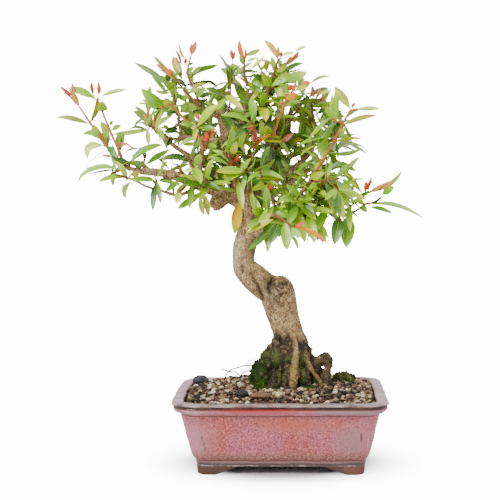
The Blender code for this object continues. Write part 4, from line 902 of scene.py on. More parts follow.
class Finish:
    """A material, with short calls for the nodes of its pattern."""

    def __init__(self, name, roughness, metallic=0.0, specular=0.5):
        self.material = bpy.data.materials.new(name)
        self.material.use_nodes = True
        self.nodes = self.material.node_tree.nodes
        self.links = self.material.node_tree.links
        self.shader = self.nodes["Principled BSDF"]
        self.set("Roughness", roughness)
        self.set("Metallic", metallic)
        self.set("Specular IOR Level", specular)

    def feed(self, socket, value):
        """Links or sets a socket. A colour of three values is one as a screen shows it."""
        if isinstance(value, bpy.types.NodeSocket):
            self.links.new(value, socket)
        elif socket.type == "RGBA" and len(value) == 3:
            socket.default_value = (*linear(value), 1.0)
        else:
            socket.default_value = value

    def set(self, socket, value):
        self.feed(self.shader.inputs[socket], value)

    def node(self, kind, *values, **settings):
        """A node with these settings, and values for its sockets in their order."""
        made = self.nodes.new(kind)
        for key, value in settings.items():
            setattr(made, key, value)
        for socket, value in zip(made.inputs, values):
            if value is not None:
                self.feed(socket, value)
        return made

    def place(self, size=1.0, stretch=(1.0, 1.0, 1.0)):
        """Object coordinates in millimetres from the pot's middle, divided by a size and a stretch."""
        source = self.node("ShaderNodeTexCoord").outputs["Object"]
        scale = [1 / (MM * (size * share)) for share in stretch]
        offset = [-middle * factor for middle, factor in zip(POT_MIDDLE, scale)]
        return self.node("ShaderNodeMapping", source, offset, None, scale).outputs[0]

    def noise(self, size, detail=3.0, roughness=0.55, stretch=(1.0, 1.0, 1.0), distortion=0.0):
        place = self.place(size, stretch)
        return self.node("ShaderNodeTexNoise", place, None, 1.0, detail, roughness, None, None, None,
                         distortion).outputs[0]

    def cells(self, size, stretch):
        return self.node("ShaderNodeTexVoronoi", self.place(size, stretch), None, 1.0).outputs[0]

    def cloud(self, middle, reach, most=1.0):
        """Full around a place and 0 beyond its reach in X, Y and Z, with a ragged edge."""
        offset = self.node("ShaderNodeVectorMath", self.place(), middle, operation="SUBTRACT")
        near = self.node("ShaderNodeVectorMath", offset.outputs[0], reach, operation="DIVIDE")
        length = self.node("ShaderNodeVectorMath", near.outputs[0], operation="LENGTH").outputs[1]
        ragged = self.math("MULTIPLY_ADD", self.noise(7, 5, 0.65), 1.1, length)
        return self.step(ragged, 1.8, 1.0, most)

    def step(self, value, low, high, most=1.0, least=0.0):
        """Goes smoothly from least to most while the value goes from low to high."""
        return self.node("ShaderNodeMapRange", value, low, high, least, most,
                         interpolation_type="SMOOTHSTEP").outputs[0]

    def mix(self, share, first, second, blend="MIX"):
        return self.node("ShaderNodeMix", share, *[None] * 5, first, second, data_type="RGBA",
                         blend_type=blend).outputs[2]

    def over(self, colour, *layers):
        """Lays colours over one another, each given as (the share that it covers, colour)."""
        for share, layer in layers:
            colour = self.mix(share, colour, layer)
        return colour

    def math(self, operation, *values):
        return self.node("ShaderNodeMath", *values, operation=operation).outputs[0]

    def times(self, first, second):
        return self.math("MULTIPLY", first, second)

    def split(self, vector):
        return self.node("ShaderNodeSeparateXYZ", vector).outputs

    def blade(self):
        """How far along its leaf and across it a place lies, and how far off the midrib."""
        along, across, _ = self.split(self.node("ShaderNodeUVMap", uv_map="blade").outputs[0])
        return along, across, self.math("ABSOLUTE", self.math("SUBTRACT", across, 0.5))

    def attribute(self, name, output="Color"):
        return self.node("ShaderNodeAttribute", attribute_name=name).outputs[output]

    def ramp(self, value, stops):
        """A colour ramp with stops of (share, colour)."""
        made = self.node("ShaderNodeValToRGB", value)
        elements = made.color_ramp.elements
        while len(elements) < len(stops):
            elements.new(1.0)
        for element, (share, colour) in zip(elements, stops):
            element.position = share
            element.color = (*linear(colour), 1.0)
        return made.outputs[0]

    def bump(self, height, distance, strength=1.0):
        """Relief whose height from 0 to 1 stands for a distance in millimetres."""
        made = self.node("ShaderNodeBump", strength, distance * MM, None, height)
        self.set("Normal", made.outputs[0])


def glaze_body(glaze, colours, speck):
    """Mottled mauve to coral with fine specks, and the patches that stand out on it."""
    broad = glaze.step(glaze.noise(46, 3, distortion=0.6), 0.34, 0.66)
    return glaze.over(
        glaze.mix(broad, (*colours.mauve, 1.0), (*colours.coral, 1.0)),
        (glaze.step(glaze.noise(19, 4), 0.45, 0.65, 0.4), (190, 108, 90)),
        (glaze.step(speck, 0.5, 0.68, 0.7), (230, 160, 136)),
        (glaze.step(speck, 0.5, 0.37, 0.85), (112, 46, 54)),
        (glaze.step(glaze.noise(3.6, 2, 0.6), 0.56, 0.7, 0.5), (176, 100, 146)),
        *((glaze.cloud(*patch), colour) for *patch, colour in GLAZE_PATCHES),
    )


def glaze_low(glaze, level, speck):
    """The plinth: brown where the glaze breaks, with a painted highlight along the bead, specks and pale
    drips.
    """
    above = glaze.step(level, 0.2, 0.23)
    drip = glaze.math("SUBTRACT", glaze.step(level, 0.118, 0.124), glaze.step(level, 0.132, 0.14))
    return glaze.over(
        glaze.ramp(level, PLINTH_COLOURS),
        (glaze.times(glaze.step(speck, 0.5, 0.38, 0.85), above), (104, 54, 48)),
        (glaze.times(glaze.step(speck, 0.52, 0.66, 0.6), above), (216, 166, 144)),
        (glaze.cloud((-92, -70, 14.2), (20, 22, 2.2), 0.7), (70, 58, 58)),
        (glaze.cloud((92, -70, 14.4), (24, 22, 2.2), 0.7), (70, 58, 58)),
        (glaze.times(drip, glaze.step(glaze.noise(9, 4), 0.46, 0.62, 0.7, 0.05)), (196, 184, 184)),
    )


def glaze_rim(glaze, height):
    """The bands of the rim from below, as layers: its roll, a red strip, a dark line under the lip, which is
    glaze break and painted shade, and the lip.
    """
    warm = glaze.cloud((-22, -95, 78), (56, 40, 30))
    roll = glaze.over(
        glaze.mix(glaze.step(glaze.noise(12, 4), 0.35, 0.65), (204, 150, 158), (172, 112, 114)),
        (glaze.cloud((86, -95, 78), (46, 40, 30)), (164, 124, 128)),
        (glaze.times(warm, glaze.step(height, 74.6, 79.0, 0.95, 0.2)), (188, 72, 76)),
    )
    strip = glaze.mix(warm, (108, 66, 58), (146, 46, 34))
    # The dark line is a break in the glaze and painted shade under the lip's overhang.
    line = glaze.mix(glaze.step(glaze.noise(20, 4), 0.42, 0.62), (30, 20, 20), (86, 54, 48))
    worn = glaze.step(glaze.noise(11, 4), 0.4, 0.62)
    front_lip = glaze.over(
        glaze.mix(worn, (186, 160, 156), (144, 108, 102)),
        (glaze.step(height, 85.6, 86.4, 0.6), (188, 162, 160)),
        (glaze.step(glaze.noise(18, 4, distortion=0.4), 0.52, 0.6, 0.75), (100, 74, 66)),
    )
    in_front = glaze.step(glaze.split(glaze.place())[1], -76, -86)
    lip = glaze.mix(in_front, glaze.mix(worn, (222, 188, 194), (196, 148, 152)), front_lip)
    bands = (
        (71.3, 72.2, (122, 66, 62)), (72.9, 74.3, roll), (79.8, 80.9, strip), (81.9, 82.7, line),
        (84.5, 85.3, lip),
    )
    return [(glaze.step(height, low, high), colour) for low, high, colour in bands]


def glaze_finish(colours):
    """Speckled glaze that breaks to brown on edges and runs pale over the plinth."""
    glaze = Finish("pink_glaze", 0.3)
    height = glaze.split(glaze.place())[2]
    wave = glaze.math("MULTIPLY_ADD", glaze.noise(14, 3), 3.6, -1.8)
    level = glaze.math("DIVIDE", glaze.math("ADD", height, wave), POT_HEIGHT)
    speck = glaze.noise(1.7, 2, 0.7)
    colour = glaze.over(
        glaze_low(glaze, level, speck),
        (glaze.step(level, 0.22, 0.4), glaze_body(glaze, colours, speck)),
        *glaze_rim(glaze, height),
    )
    bare = glaze.over(
        glaze.mix(glaze.noise(6, 4), (64, 45, 38), (98, 70, 58)),
        (glaze.cloud((92, -70, 6), (26, 30, 9), 0.55), (130, 84, 62)),
    )
    under = glaze.step(height, 9.6, 10.6)
    glaze.set("Base Color", glaze.mix(under, bare, colour))
    shine = glaze.step(glaze.noise(12, 3), 0.3, 0.7, 0.3, 0.12)
    glaze.set("Roughness", glaze.mix(under, BARE_ROUGHNESS, shine))
    glaze.bump(glaze.mix(0.35, glaze.noise(2.4, 3), glaze.noise(9, 2)), 0.35, 0.5)
    return glaze.material


def bark_finish(colours):
    """Grey-tan bark with dark pits, painted glints, and the tones that the wood's mesh carries."""
    bark = Finish("bark", 0.82, specular=0.3)
    dark, gold, moss = bark.node("ShaderNodeSeparateColor", bark.attribute("bark_tone")).outputs[:3]
    pale = bark.attribute("bark_tone", "Alpha")
    young = bark.attribute("bark_young", "Fac")
    streak = bark.noise(2.8, 4, 0.7, (1, 1, 2.4))
    golden = bark.mix(bark.step(bark.noise(3, 4), 0.35, 0.65), (112, 76, 36), (224, 182, 104))
    # The dark pits are dark bark and partly painted shade in their hollows.
    pits = bark.step(bark.cells(2.6, (1, 1, 1.6)), 0.38, 0.18)
    pits = bark.times(pits, bark.step(bark.noise(7, 2), 0.4, 0.54))
    # Painted highlights: small bright specks, fainter on the golden roots.
    painted_glint = bark.step(bark.noise(1.7, 2, 0.6), 0.57, 0.67, 0.7)
    colour = bark.over(
        bark.mix(bark.step(bark.noise(9, 4, 0.6), 0.4, 0.6), (*colours.light, 1.0), (*colours.tan, 1.0)),
        (bark.step(streak, 0.49, 0.6, 0.9), (110, 82, 50)),
        (bark.times(pale, 0.85), (222, 200, 160)),
        (bark.times(gold, 0.85), golden),
        (bark.times(pits, 0.85), (66, 46, 28)),
        (bark.step(bark.noise(1.3, 3, 0.75, (1, 1, 1.5)), 0.5, 0.62, 0.85), (92, 68, 46)),
        (bark.times(painted_glint, bark.math("MULTIPLY_ADD", gold, -0.55, 1.0)), (255, 238, 196)),
        (bark.times(young, 0.75), bark.mix(bark.noise(4, 2), (104, 64, 44), (150, 112, 76))),
        # The dark tone carries the darker low bark, and the painted shade of the carvings, the wound's
        # cracks and most dark patches.
        (dark, bark.ramp(bark.noise(4.5, 4, 0.7), LOW_BARK_COLOURS)),
        (moss, bark.mix(bark.noise(2.2, 3), (36, 42, 20), (106, 118, 52))),
    )
    bark.set("Base Color", colour)
    height = bark.mix(0.5, streak, bark.noise(1.3, 4, 0.7))
    bark.bump(bark.math("SUBTRACT", height, bark.times(pits, 0.35)), 0.9, 0.8)
    return bark.material


def leaf_finish():
    """A glossy blade in its leaf's own colour, with a midrib and side veins, and painted shade over one
    half.
    """
    leaf = Finish("leaf", 0.3, specular=0.9)
    tint = leaf.attribute("leaf_tint")
    along, across, off_rib = leaf.blade()
    mottle = leaf.step(leaf.noise(5.0, 3), 0.35, 0.65, 0.35)
    colour = leaf.mix(mottle, tint, leaf.mix(1.0, tint, (190, 206, 130), "MULTIPLY"))
    # Painted shade: one half of each blade, across its midrib, is darkened.
    painted_shade = leaf.mix(1.0, colour, (200, 218, 150), "MULTIPLY")
    vein = leaf.math("SINE", leaf.times(leaf.math("MULTIPLY_ADD", off_rib, -1.5, along), 62.0))
    rib = leaf.step(off_rib, 0.04, 0.012, 0.35)
    leaf.set("Base Color", leaf.over(
        colour, (leaf.step(across, 0.47, 0.53, 0.6), painted_shade),
        (leaf.step(vein, 0.75, 1.0, 0.12), (206, 220, 60)), (rib, (220, 226, 100)),
    ))
    leaf.set("Roughness", leaf.step(leaf.noise(7, 2), 0.3, 0.7, 0.34, 0.18))
    leaf.set("Subsurface Weight", 0.15)
    leaf.set("Subsurface Radius", (0.9, 1.0, 0.15))
    leaf.set("Subsurface Scale", 0.001)
    leaf.bump(leaf.math("SUBTRACT", leaf.times(vein, 0.12), rib), 0.25, 0.6)
    return leaf.material


def stem_finish():
    stem = Finish("young_stem", 0.5)
    brown = stem.step(stem.noise(2.5, 3), 0.4, 0.7, 0.45)
    stem.set("Base Color", stem.mix(brown, stem.attribute("leaf_tint"), (120, 84, 34)))
    stem.bump(stem.noise(1.2, 3, stretch=(1, 1, 2.5)), 0.25)
    return stem.material


def old_leaf_finish():
    """A yellow leaf, orange on one side, green at its end, with small brown spots."""
    old = Finish("old_leaf", 0.5, specular=0.2)
    along, across, off_rib = old.blade()
    ragged = old.math("MULTIPLY_ADD", old.noise(5, 3), 0.5, -0.25)
    side = old.step(old.math("ADD", across, ragged), 0.62, 0.84)
    rib = old.step(off_rib, 0.05, 0.02, 0.4)
    old.set("Base Color", old.over(
        (244, 208, 0),
        (old.times(side, old.step(along, 0.7, 0.5)), (240, 124, 0)),
        (old.step(old.math("ADD", along, ragged), 0.72, 0.92), (150, 184, 10)),
        (old.step(old.noise(2.2, 2), 0.66, 0.74, 0.7), (168, 92, 20)),
        (rib, (250, 206, 50)),
    ))
    old.bump(rib, 0.3, 0.6)
    return old.material


def grain_finish(name, roughness, pore, depth):
    """Grains in their own tints, with pores of one size, painted shade in the pores and painted highlights
    between them.
    """
    grain = Finish(name, roughness, specular=0.25)
    tint = grain.attribute("grain_tint")
    pores = grain.noise(pore, 4, 0.7)
    # Painted shade darkens the pores and painted highlights lighten the raised parts between them.
    grain.set("Base Color", grain.over(
        tint,
        (grain.step(pores, 0.5, 0.3, 0.7), grain.mix(0.7, tint, (50, 36, 24))),
        (grain.step(pores, 0.56, 0.72, 0.35), (236, 222, 186)),
    ))
    grain.bump(pores, depth)
    return grain.material


def plain_finish(name, low, high, size, roughness, relief, metallic=0.0, stretch=(1.0, 1.0, 1.0)):
    """Two colours in a broken pattern of one size, with its relief."""
    made = Finish(name, roughness, metallic)
    pattern = made.noise(size, 5, 0.65, stretch)
    made.set("Base Color", made.mix(made.step(pattern, 0.34, 0.66), low, high))
    made.bump(pattern, relief)
    return made.material


def moss_finish():
    moss = Finish("moss", 0.9, specular=0.15)
    spots = moss.step(moss.noise(2.4, 3), 0.44, 0.6, 0.7)
    moss.set("Base Color", moss.mix(spots, moss.attribute("moss_tint"), (42, 36, 28)))
    moss.bump(moss.noise(1.2, 3), 0.6)
    return moss.material


def foot_lift(x, y):
    """How high the pot's lower edge stands at a place on its outline."""
    to_end = POT_WIDTH / 2 - FOOT_INSET - abs(x)
    to_front = POT_DEPTH / 2 - FOOT_INSET - abs(y)
    if to_front < to_end:
        share = (to_end - FOOT_WIDTH_LOW) / (FOOT_WIDTH_HIGH - FOOT_WIDTH_LOW)
    else:
        share = (to_front - SIDE_FOOT_WIDTH_LOW) / (SIDE_FOOT_WIDTH_HIGH - SIDE_FOOT_WIDTH_LOW)
    return ARCH_HEIGHT * min(1.0, max(0.0, share)) ** ARCH_POWER


def side_bow(x):
    """How far the middle of the pot's short side on that side of the pot bows out, with its sign."""
    side = 1 if x > 0 else -1
    return side * SIDE_BOW[side]


def pot_ring(inset):
    """The pot's outline moved in by a distance, as places all the way round."""
    half_width = POT_WIDTH / 2 - inset
    half_depth = POT_DEPTH / 2 - inset
    radius = RIM_CORNER_RADIUS - CORNER_TIGHTENING * inset
    corners = []
    for quarter, (sx, sy) in enumerate(((1, 1), (-1, 1), (-1, -1), (1, -1))):
        turns = [math.radians(90 * (quarter + step / CORNER_STEPS)) for step in range(CORNER_STEPS + 1)]
        corners.append([
            Vector((sx * (half_width - radius) + radius * math.cos(turn),
                    sy * (half_depth - radius) + radius * math.sin(turn)))
            for turn in turns
        ])
    ring = []
    for quarter, corner in enumerate(corners):
        steps = SHORT_SIDE_STEPS if quarter % 2 else LONG_SIDE_STEPS
        beside = corners[(quarter + 1) % 4][0]
        ring += [*corner, *(corner[-1].lerp(beside, step / steps) for step in range(1, steps))]
    for place in ring:
        place.x += side_bow(place.x) * (1 - (place.y / half_depth) ** 2)
    return ring


def ring_at(inset, height):
    """The pot's outline moved in by a distance, at a height that may follow its places."""
    return [Vector((x, y, height(x, y))) for x, y in pot_ring(inset)]


def ring_loft(rings):
    """A skin drawn up ring by ring: a circle is extruded, and each new ring laid on its places."""
    deselect_all()
    bpy.ops.mesh.primitive_circle_add(vertices=len(rings[0]), radius=1.0)
    obj = bpy.context.object
    with editing(obj):
        for _ in rings[1:]:
            bpy.ops.mesh.extrude_region_move()
    move_verts(obj.data, [place for ring in rings for place in ring])
    return obj


def drill(obj, x):
    """Cuts a round drain hole through the pot's floor at x."""
    bpy.ops.mesh.primitive_cylinder_add(vertices=40, radius=DRAIN_RADIUS, depth=40, location=(x, 0, 14))
    cutter = bpy.context.object
    apply_modifier(obj, "BOOLEAN", operation="DIFFERENCE", solver="EXACT", object=cutter)
    bpy.data.objects.remove(cutter, do_unlink=True)


def model_pot():
    """The pot's skin from under its floor, over its feet, wall and rim and down its inside."""
    def lifted(x, y, z):
        lift = foot_lift(x, y)
        return lift + z * (BEAD_START - lift) / BEAD_START if z < BEAD_START else z

    def recessed(x, y, up):
        return foot_lift(x, y) * (1 - up) + UNDER_FLOOR * up

    rings = [ring_at(inset, lambda x, y: recessed(x, y, up)) for inset, up in UNDER_EDGE]
    rings += [ring_at(inset, lambda x, y: lifted(x, y, z)) for inset, z in POT_OUTSIDE]
    rings += [ring_at(inset, lambda x, y: z) for inset, z in POT_INSIDE]
    obj = ring_loft(rings)
    for height in (UNDER_FLOOR, POT_INSIDE[-1][1]):
        close_ring(obj, lambda place: abs(place.z - height) < SAME_HEIGHT)
    clean_skin(obj)
    for x in (-DRAIN_X, DRAIN_X):
        drill(obj, x)
    places = coordinates(obj.data)
    noise.seed_set(GLAZE_SEED)
    for place in places:
        if place[2] > GLAZE_WAVE_START:
            spot = Vector(place) * 0.035
            ripple = np.array(noise.noise_vector(spot * 3.1)) * GLAZE_WAVE
            place += np.array(noise.noise_vector(spot)) * 2 * GLAZE_WAVE + ripple
    move_verts(obj.data, places)
    return obj


def wood_runs():
    """Each limb's smooth path as (x, y, z, radius), by name."""
    tables = {"trunk": TRUNK, **LIMBS, **ROOTS}
    return {
        name: smooth_path([(*seen(x, y, z), radius) for x, y, z, radius in points], WOOD_STEP)
        for name, points in tables.items()
    }


def nearest_runs(places, runs):
    """For each place, the run's point whose bark it lies on: its centre, length so far, radius, name."""
    centres, lengths, radii, names = [], [], [], []
    for name, run in runs.items():
        length = 0.0
        for before, point in zip([run[0], *run], run):
            length += (Vector(point[:3]) - Vector(before[:3])).length
            centres.append(point[:3])
            lengths.append(length)
            radii.append(point[3])
            names.append(name)
    centres, lengths, radii = np.array(centres), np.array(lengths), np.array(radii)
    found = np.empty(len(places), int)
    for start in range(0, len(places), PLACES_AT_ONCE):
        block = places[start:start + PLACES_AT_ONCE]
        apart = np.linalg.norm(block[:, None, :] - centres[None], axis=2) - radii[None]
        found[start:start + PLACES_AT_ONCE] = apart.argmin(axis=1)
    return centres[found], lengths[found], radii[found], [names[i] for i in found]


def line_distance(spots, points):
    """How far each (x, z) spot lies from a line through points."""
    least = np.full(len(spots), np.inf)
    for a, b in zip(points, points[1:]):
        a, b = np.array(a, float), np.array(b, float)
        share = np.clip(((spots - a) @ (b - a)) / ((b - a) @ (b - a)), 0, 1)
        least = np.minimum(least, np.linalg.norm(spots - (a + share[:, None] * (b - a)), axis=1))
    return least


def spread(spots, middle, reach):
    """How far each (x, z) spot lies from a middle, in reaches, squared."""
    return np.sum(((spots - middle) / reach) ** 2, axis=1)


def bark_surface(mesh):
    """Shapes the bark: flutes, plates, pits, the old wound and its creases, and paints its tones, with
    painted shade in the carvings and the wound's cracks.
    """
    places, normals = coordinates(mesh), directions(mesh)
    centres, lengths, radii, names = nearest_runs(places, wood_runs())
    spots = front_spots(places)
    front = np.clip(-normals[:, 1] * 2.0, 0, 1)
    wound = np.exp(-spread(spots, WOUND_MIDDLE, WOUND_REACH) ** 2) * front
    bare = np.max([np.exp(-spread(spots, *streak)) for streak in BARE_STREAKS], axis=0)
    tones = np.zeros((len(places), 4))
    push = np.zeros(len(places))
    for index, place in enumerate(places):
        x, y, z = place
        height = spots[index, 1]
        offset = place - centres[index]
        heft = min(1.0, radii[index] / 16)
        flow = Vector((offset[0], offset[1], 0.35 * lengths[index] + offset[2] * 0.35))
        root = smooth(z, *ROOT_ZONE)
        gold = ROOT_GOLD.get(names[index], 0.0) * (0.35 + 0.65 * smooth(height, 134, 114))
        gold *= 0.3 + 0.7 * smooth(height, 87, 98)
        flute = noise.noise(flow * 0.11) * 1.1 * heft
        plates = rough(flow, 0.42) * (0.28 + 0.3 * heft)
        lumps = rough(place, 0.2, 4, 0.9) * 1.5 * root * (1 - 0.7 * gold)
        rib = max(0.0, 1.0 - 4.5 * abs(noise.noise(Vector((x * 0.13, y * 0.13, z * 0.028)))))
        ribs = (1.9 * rib - 0.5) * root * (1 - 0.8 * gold)
        push[index] = flute + plates + lumps + ribs
        tones[index, 3] += 0.4 * rib * root
        if wound[index] > 0.02:
            near = noise.voronoi(Vector(place) * 0.17)[0]
            split = smooth(near[1] - near[0], 0.16, 0.02)
            push[index] += wound[index] * (0.9 - 2.0 * split)
            # The cracks are darkened: dark bark between the plates and painted shade in them.
            tones[index, 0] += wound[index] * split * 0.7
        low_zone = smooth(height + 16 * rough(place, 0.09), *ROOT_ZONE) * (1 - bare[index])
        if names[index] in ROOTS or names[index] == "trunk":
            green = smooth(rough(place, 0.16), 0.12, 0.4)
            tones[index, :3] += (low_zone * (1 - gold), low_zone * gold, low_zone * green * 0.6 * (1 - gold))
    for points, half_width, depth in CARVINGS:
        cut = np.exp(-(line_distance(spots, points) / half_width) ** 2) * front
        push -= cut * depth
        # Painted shade: each carving darkens with its depth.
        tones[:, 0] += cut * min(0.95, depth / 4.0)
    for tone, patches in enumerate(BARK_PATCHES.values()):
        for *patch, strength in patches:
            tones[:, tone] += strength * np.exp(-spread(spots, *patch)) * front
    move_verts(mesh, places + normals * push[:, None])
    paint(mesh, "bark_tone", np.clip(tones, 0, 1))
    young = np.clip((4.2 - radii) / 2.4, 0, 1)
    layer = mesh.attributes.new("bark_young", "FLOAT", "POINT")
    layer.data.foreach_set("value", young.astype(np.float32))


def model_wood(voxel):
    """All limbs in one skin: tubes joined on a voxel grid, smoothed, then given their bark."""
    runs = wood_runs()
    thick = tubes([runs.pop("trunk")], TRUNK_ROUNDS)
    rest = tubes(list(runs.values()), LIMB_ROUNDS)
    bpy.ops.mesh.primitive_uv_sphere_add(segments=32, ring_count=20, location=seen(*KNOT), scale=KNOT_RADII)
    knot = bpy.context.object
    bpy.ops.object.transform_apply(location=True, scale=True)
    obj = join([thick, rest, knot])
    apply_modifier(obj, "REMESH", mode="VOXEL", voxel_size=voxel)
    apply_modifier(obj, "SMOOTH", factor=0.5, iterations=3)
    bark_surface(obj.data)
    return obj


def model_leaf_blank():
    """A flat leaf one unit long and wide: a grid drawn in row by row to its outline, in two skins."""
    deselect_all()
    bpy.ops.mesh.primitive_grid_add(
        x_subdivisions=LEAF_ROWS, y_subdivisions=LEAF_COLUMNS, size=1.0, location=(0, 0, 0))
    obj = bpy.context.object
    for row, width in enumerate(LEAF_OUTLINE):
        x = row / LEAF_ROWS - 0.5
        with editing(obj, lambda place: abs(place.x - x) < 0.4 / LEAF_ROWS):
            bpy.ops.transform.resize(value=(1.0, width, 1.0), center_override=(x, 0, 0))
    apply_modifier(obj, "SOLIDIFY", thickness=2.0, offset=0.0)
    places, faces = shape_of(obj)
    return {
        "row": np.rint((places[:, 0] + 0.5) * LEAF_ROWS).astype(int),
        "along": places[:, 0] + 0.5, "across": places[:, 1] * 2, "skin": places[:, 2], "faces": faces,
    }


def leaf_line(points, droop, arch, face):
    """The leaf's middle line at its rows, and the line's direction at each."""
    path = smooth_path(points, LEAF_STEP)
    if len(path) < 3:
        path = smooth_path(points, (points[1] - points[0]).length / 3)
    lengths = [0.0]
    for a, b in zip(path, path[1:]):
        lengths.append(lengths[-1] + (b - a).length)
    total = lengths[-1]
    shares = np.linspace(0, 1, LEAF_ROWS + 1)
    line = np.stack([np.interp(shares * total, lengths, [p[i] for p in path]) for i in range(3)], axis=1)
    line += np.array(face)[None] * (np.sin(np.pi * shares) * arch * total)[:, None]
    line[:, 2] -= droop * total * shares ** 2
    ways = np.gradient(line, axis=0)
    return line, ways / np.linalg.norm(ways, axis=1)[:, None]


def bend_leaf(blank, points, width, thickness, face, fold, arch, droop):
    """The blank laid along points with its upper side towards face."""
    line, ways = leaf_line(points, droop, arch, face)
    face = np.array(face)[None]
    ups = face - (face * ways).sum(1)[:, None] * ways
    ups /= np.linalg.norm(ups, axis=1)[:, None]
    sides = np.cross(ways, ups)
    rows = blank["row"]
    across = blank["across"][:, None] * width / 2
    rise = np.abs(across) * fold + blank["skin"][:, None] * thickness / 2
    return line[rows] + sides[rows] * across + ups[rows] * rise


def leaf_colours(blank, kind, shift):
    """The blade's colour, passing to that of its end, paler on its underside, and scaled by the leaf's
    painted light and shade.
    """
    blade, end, pale = (np.array(linear(colour)) for colour in (*BLADES[kind], UNDERSIDE))
    under = blade * (1 - UNDERSIDE_SHARE) + pale * UNDERSIDE_SHARE
    along = np.clip((blank["along"] - 0.45) / 0.5, 0, 1)[:, None]
    colour = blade * (1 - along) + end * along
    colour = np.where(blank["skin"][:, None] > 0, colour, under) * shift * np.array(SUN_TINT)
    return np.concatenate([colour, np.ones((len(colour), 1))], axis=1)


def turned_face(way, towards, tilt, rng):
    """The eye's direction made square to the leaf's, then turned about it, mostly to face up."""
    face = (towards - way * towards.dot(way)).normalized()
    turns = [Matrix.Rotation(sign * tilt, 3, way) @ face for sign in (1, -1)]
    turns.sort(key=lambda v: v.z, reverse=True)
    return turns[0] if rng.random() < 0.75 else turns[1]


def seen_leaf(rng, marks, width, kind, anchor):
    """Where a leaf read from the front view lies: its points, its true width and its face."""
    length = sum(math.dist(a, b) for a, b in zip(marks, marks[1:]))
    true_length = max(length, width / LEAST_WIDTH_SHARE)
    if true_length > length + 1:
        deeper = -min(MOST_TOWARDS_EYE, math.sqrt(true_length ** 2 - length ** 2))
    else:
        away = rng.uniform(-0.3, 1.0) if kind not in TOWARDS_EYE else rng.uniform(-1.0, 0.3)
        deeper = away * DEPTH_SPREAD * length
    run, points = 0.0, []
    for before, (x, z) in zip([marks[0], *marks], marks):
        run += math.dist(before, (x, z))
        depth = anchor[1] + deeper * run / length
        points.append(seen(x, min(CROWN_DEPTHS[1], max(CROWN_DEPTHS[0], depth)), z))
    full_width = max(width, min(WIDTH_SHARE * true_length, WIDEST_TURNED))
    way = (points[-1] - points[0]).normalized()
    eye = Vector((EYE_X, -EYE_DISTANCE, EYE_HEIGHT))
    tilt = math.acos(min(1.0, width / full_width))
    return points, full_width, turned_face(way, (eye - points[0]).normalized(), tilt, rng)


def pair_leaves(rng, stem, pairs, length, kinds, begin=0.0):
    """Opposite pairs along a stem, each pair square to the last: points, width, face and kind."""
    leaves = []
    to_eye = -0.8 if stem[-1].y < 40 else 0.5
    ahead = (stem[-1] - stem[0]).normalized()
    side = ahead.orthogonal().normalized()
    spin = rng.uniform(0, math.pi)
    for pair in range(pairs):
        share = begin + (1 - begin) * (pair + rng.uniform(0.3, 0.9)) / pairs
        place = stem[min(len(stem) - 1, int(share * len(stem)))]
        spin += math.pi / 2 + rng.uniform(-0.3, 0.3)
        for half in range(2):
            lean = math.radians(rng.uniform(38, 78))
            outward = Matrix.Rotation(spin + half * math.pi, 3, ahead) @ side
            way = ahead * math.cos(lean) + outward * math.sin(lean) + Vector((0, 0, rng.uniform(-0.3, 0.15)))
            way.normalize()
            size = length * rng.uniform(0.6, 1.15)
            start = place + way * 2.0
            face = (Vector((rng.uniform(-0.5, 0.5), to_eye, 1)) + ahead * 0.5).normalized()
            if abs(face.dot(way)) > 0.9:
                face = outward.cross(ahead)
            kind = rng.choice(kinds)
            leaves.append(([start, start + way * size], size * rng.uniform(0.19, 0.34), face, kind, place))
    return leaves


class Sprig(Heap):
    """Collects the leaves and stems of one shoot and makes its mesh."""

    def __init__(self, blank, thickness):
        super().__init__()
        self.blank = blank
        self.thickness = thickness
        self.stems = []

    def add_leaf(self, rng, points, width, face, kind):
        blank = self.blank
        bent = len(points) == 2
        fold = LEAF_FOLD * rng.uniform(0.5, 1.5)
        arch = LEAF_ARCH * rng.uniform(-0.3, 1.2) if bent else 0.0
        droop = LEAF_DROOP * rng.uniform(0, 1.2) if bent else 0.0
        verts = bend_leaf(blank, points, width, self.thickness, face, fold, arch, droop)
        middle = (points[0] + points[-1]) / 2
        away = sum(((a - b) / reach) ** 2 for a, b, reach in zip(middle, CROWN_MIDDLE, CROWN_CORE))
        # Painted shade inside the crown's core, painted light outside it.
        shift = rng.uniform(*(CORE_PAINTED_SHADE if away < 1 else OUTER_PAINTED_LIGHT))
        shift = min(shift, MOST_PAINTED_LIGHT.get(kind, shift))
        self.add(verts, blank["faces"], leaf_colours(blank, kind, shift))

    def add_stem(self, *places):
        """A short stalk through (place, share of a petiole's radius)."""
        self.stems.append([(*place, PETIOLE_RADIUS * share) for place, share in places])

    def shoot(self, leaf, stem, stem_colour):
        """All the leaves and stems as one piece in their two finishes."""
        leaves = self.piece("leaves", "leaf_tint")
        leaves.data.materials.append(leaf)
        uv = leaves.data.uv_layers.new(name="blade")
        corners = np.empty(len(leaves.data.loops), int)
        leaves.data.loops.foreach_get("vertex_index", corners)
        spots = np.stack([self.blank["along"], self.blank["across"] / 2 + 0.5], axis=1)
        uv.data.foreach_set("uv", spots[corners % len(spots)].astype(np.float32).ravel())
        stems = tubes(self.stems, 1)
        stems.data.materials.append(stem)
        paint(stems.data, "leaf_tint", [(*linear(stem_colour), 1.0)] * len(stems.data.vertices))
        return join([leaves, stems])


def front_tree(places):
    """A search tree over places by their X and Z alone."""
    tree = KDTree(len(places))
    for index, (x, _, z) in enumerate(places):
        tree.insert((x, 0, z), index)
    tree.balance()
    return tree


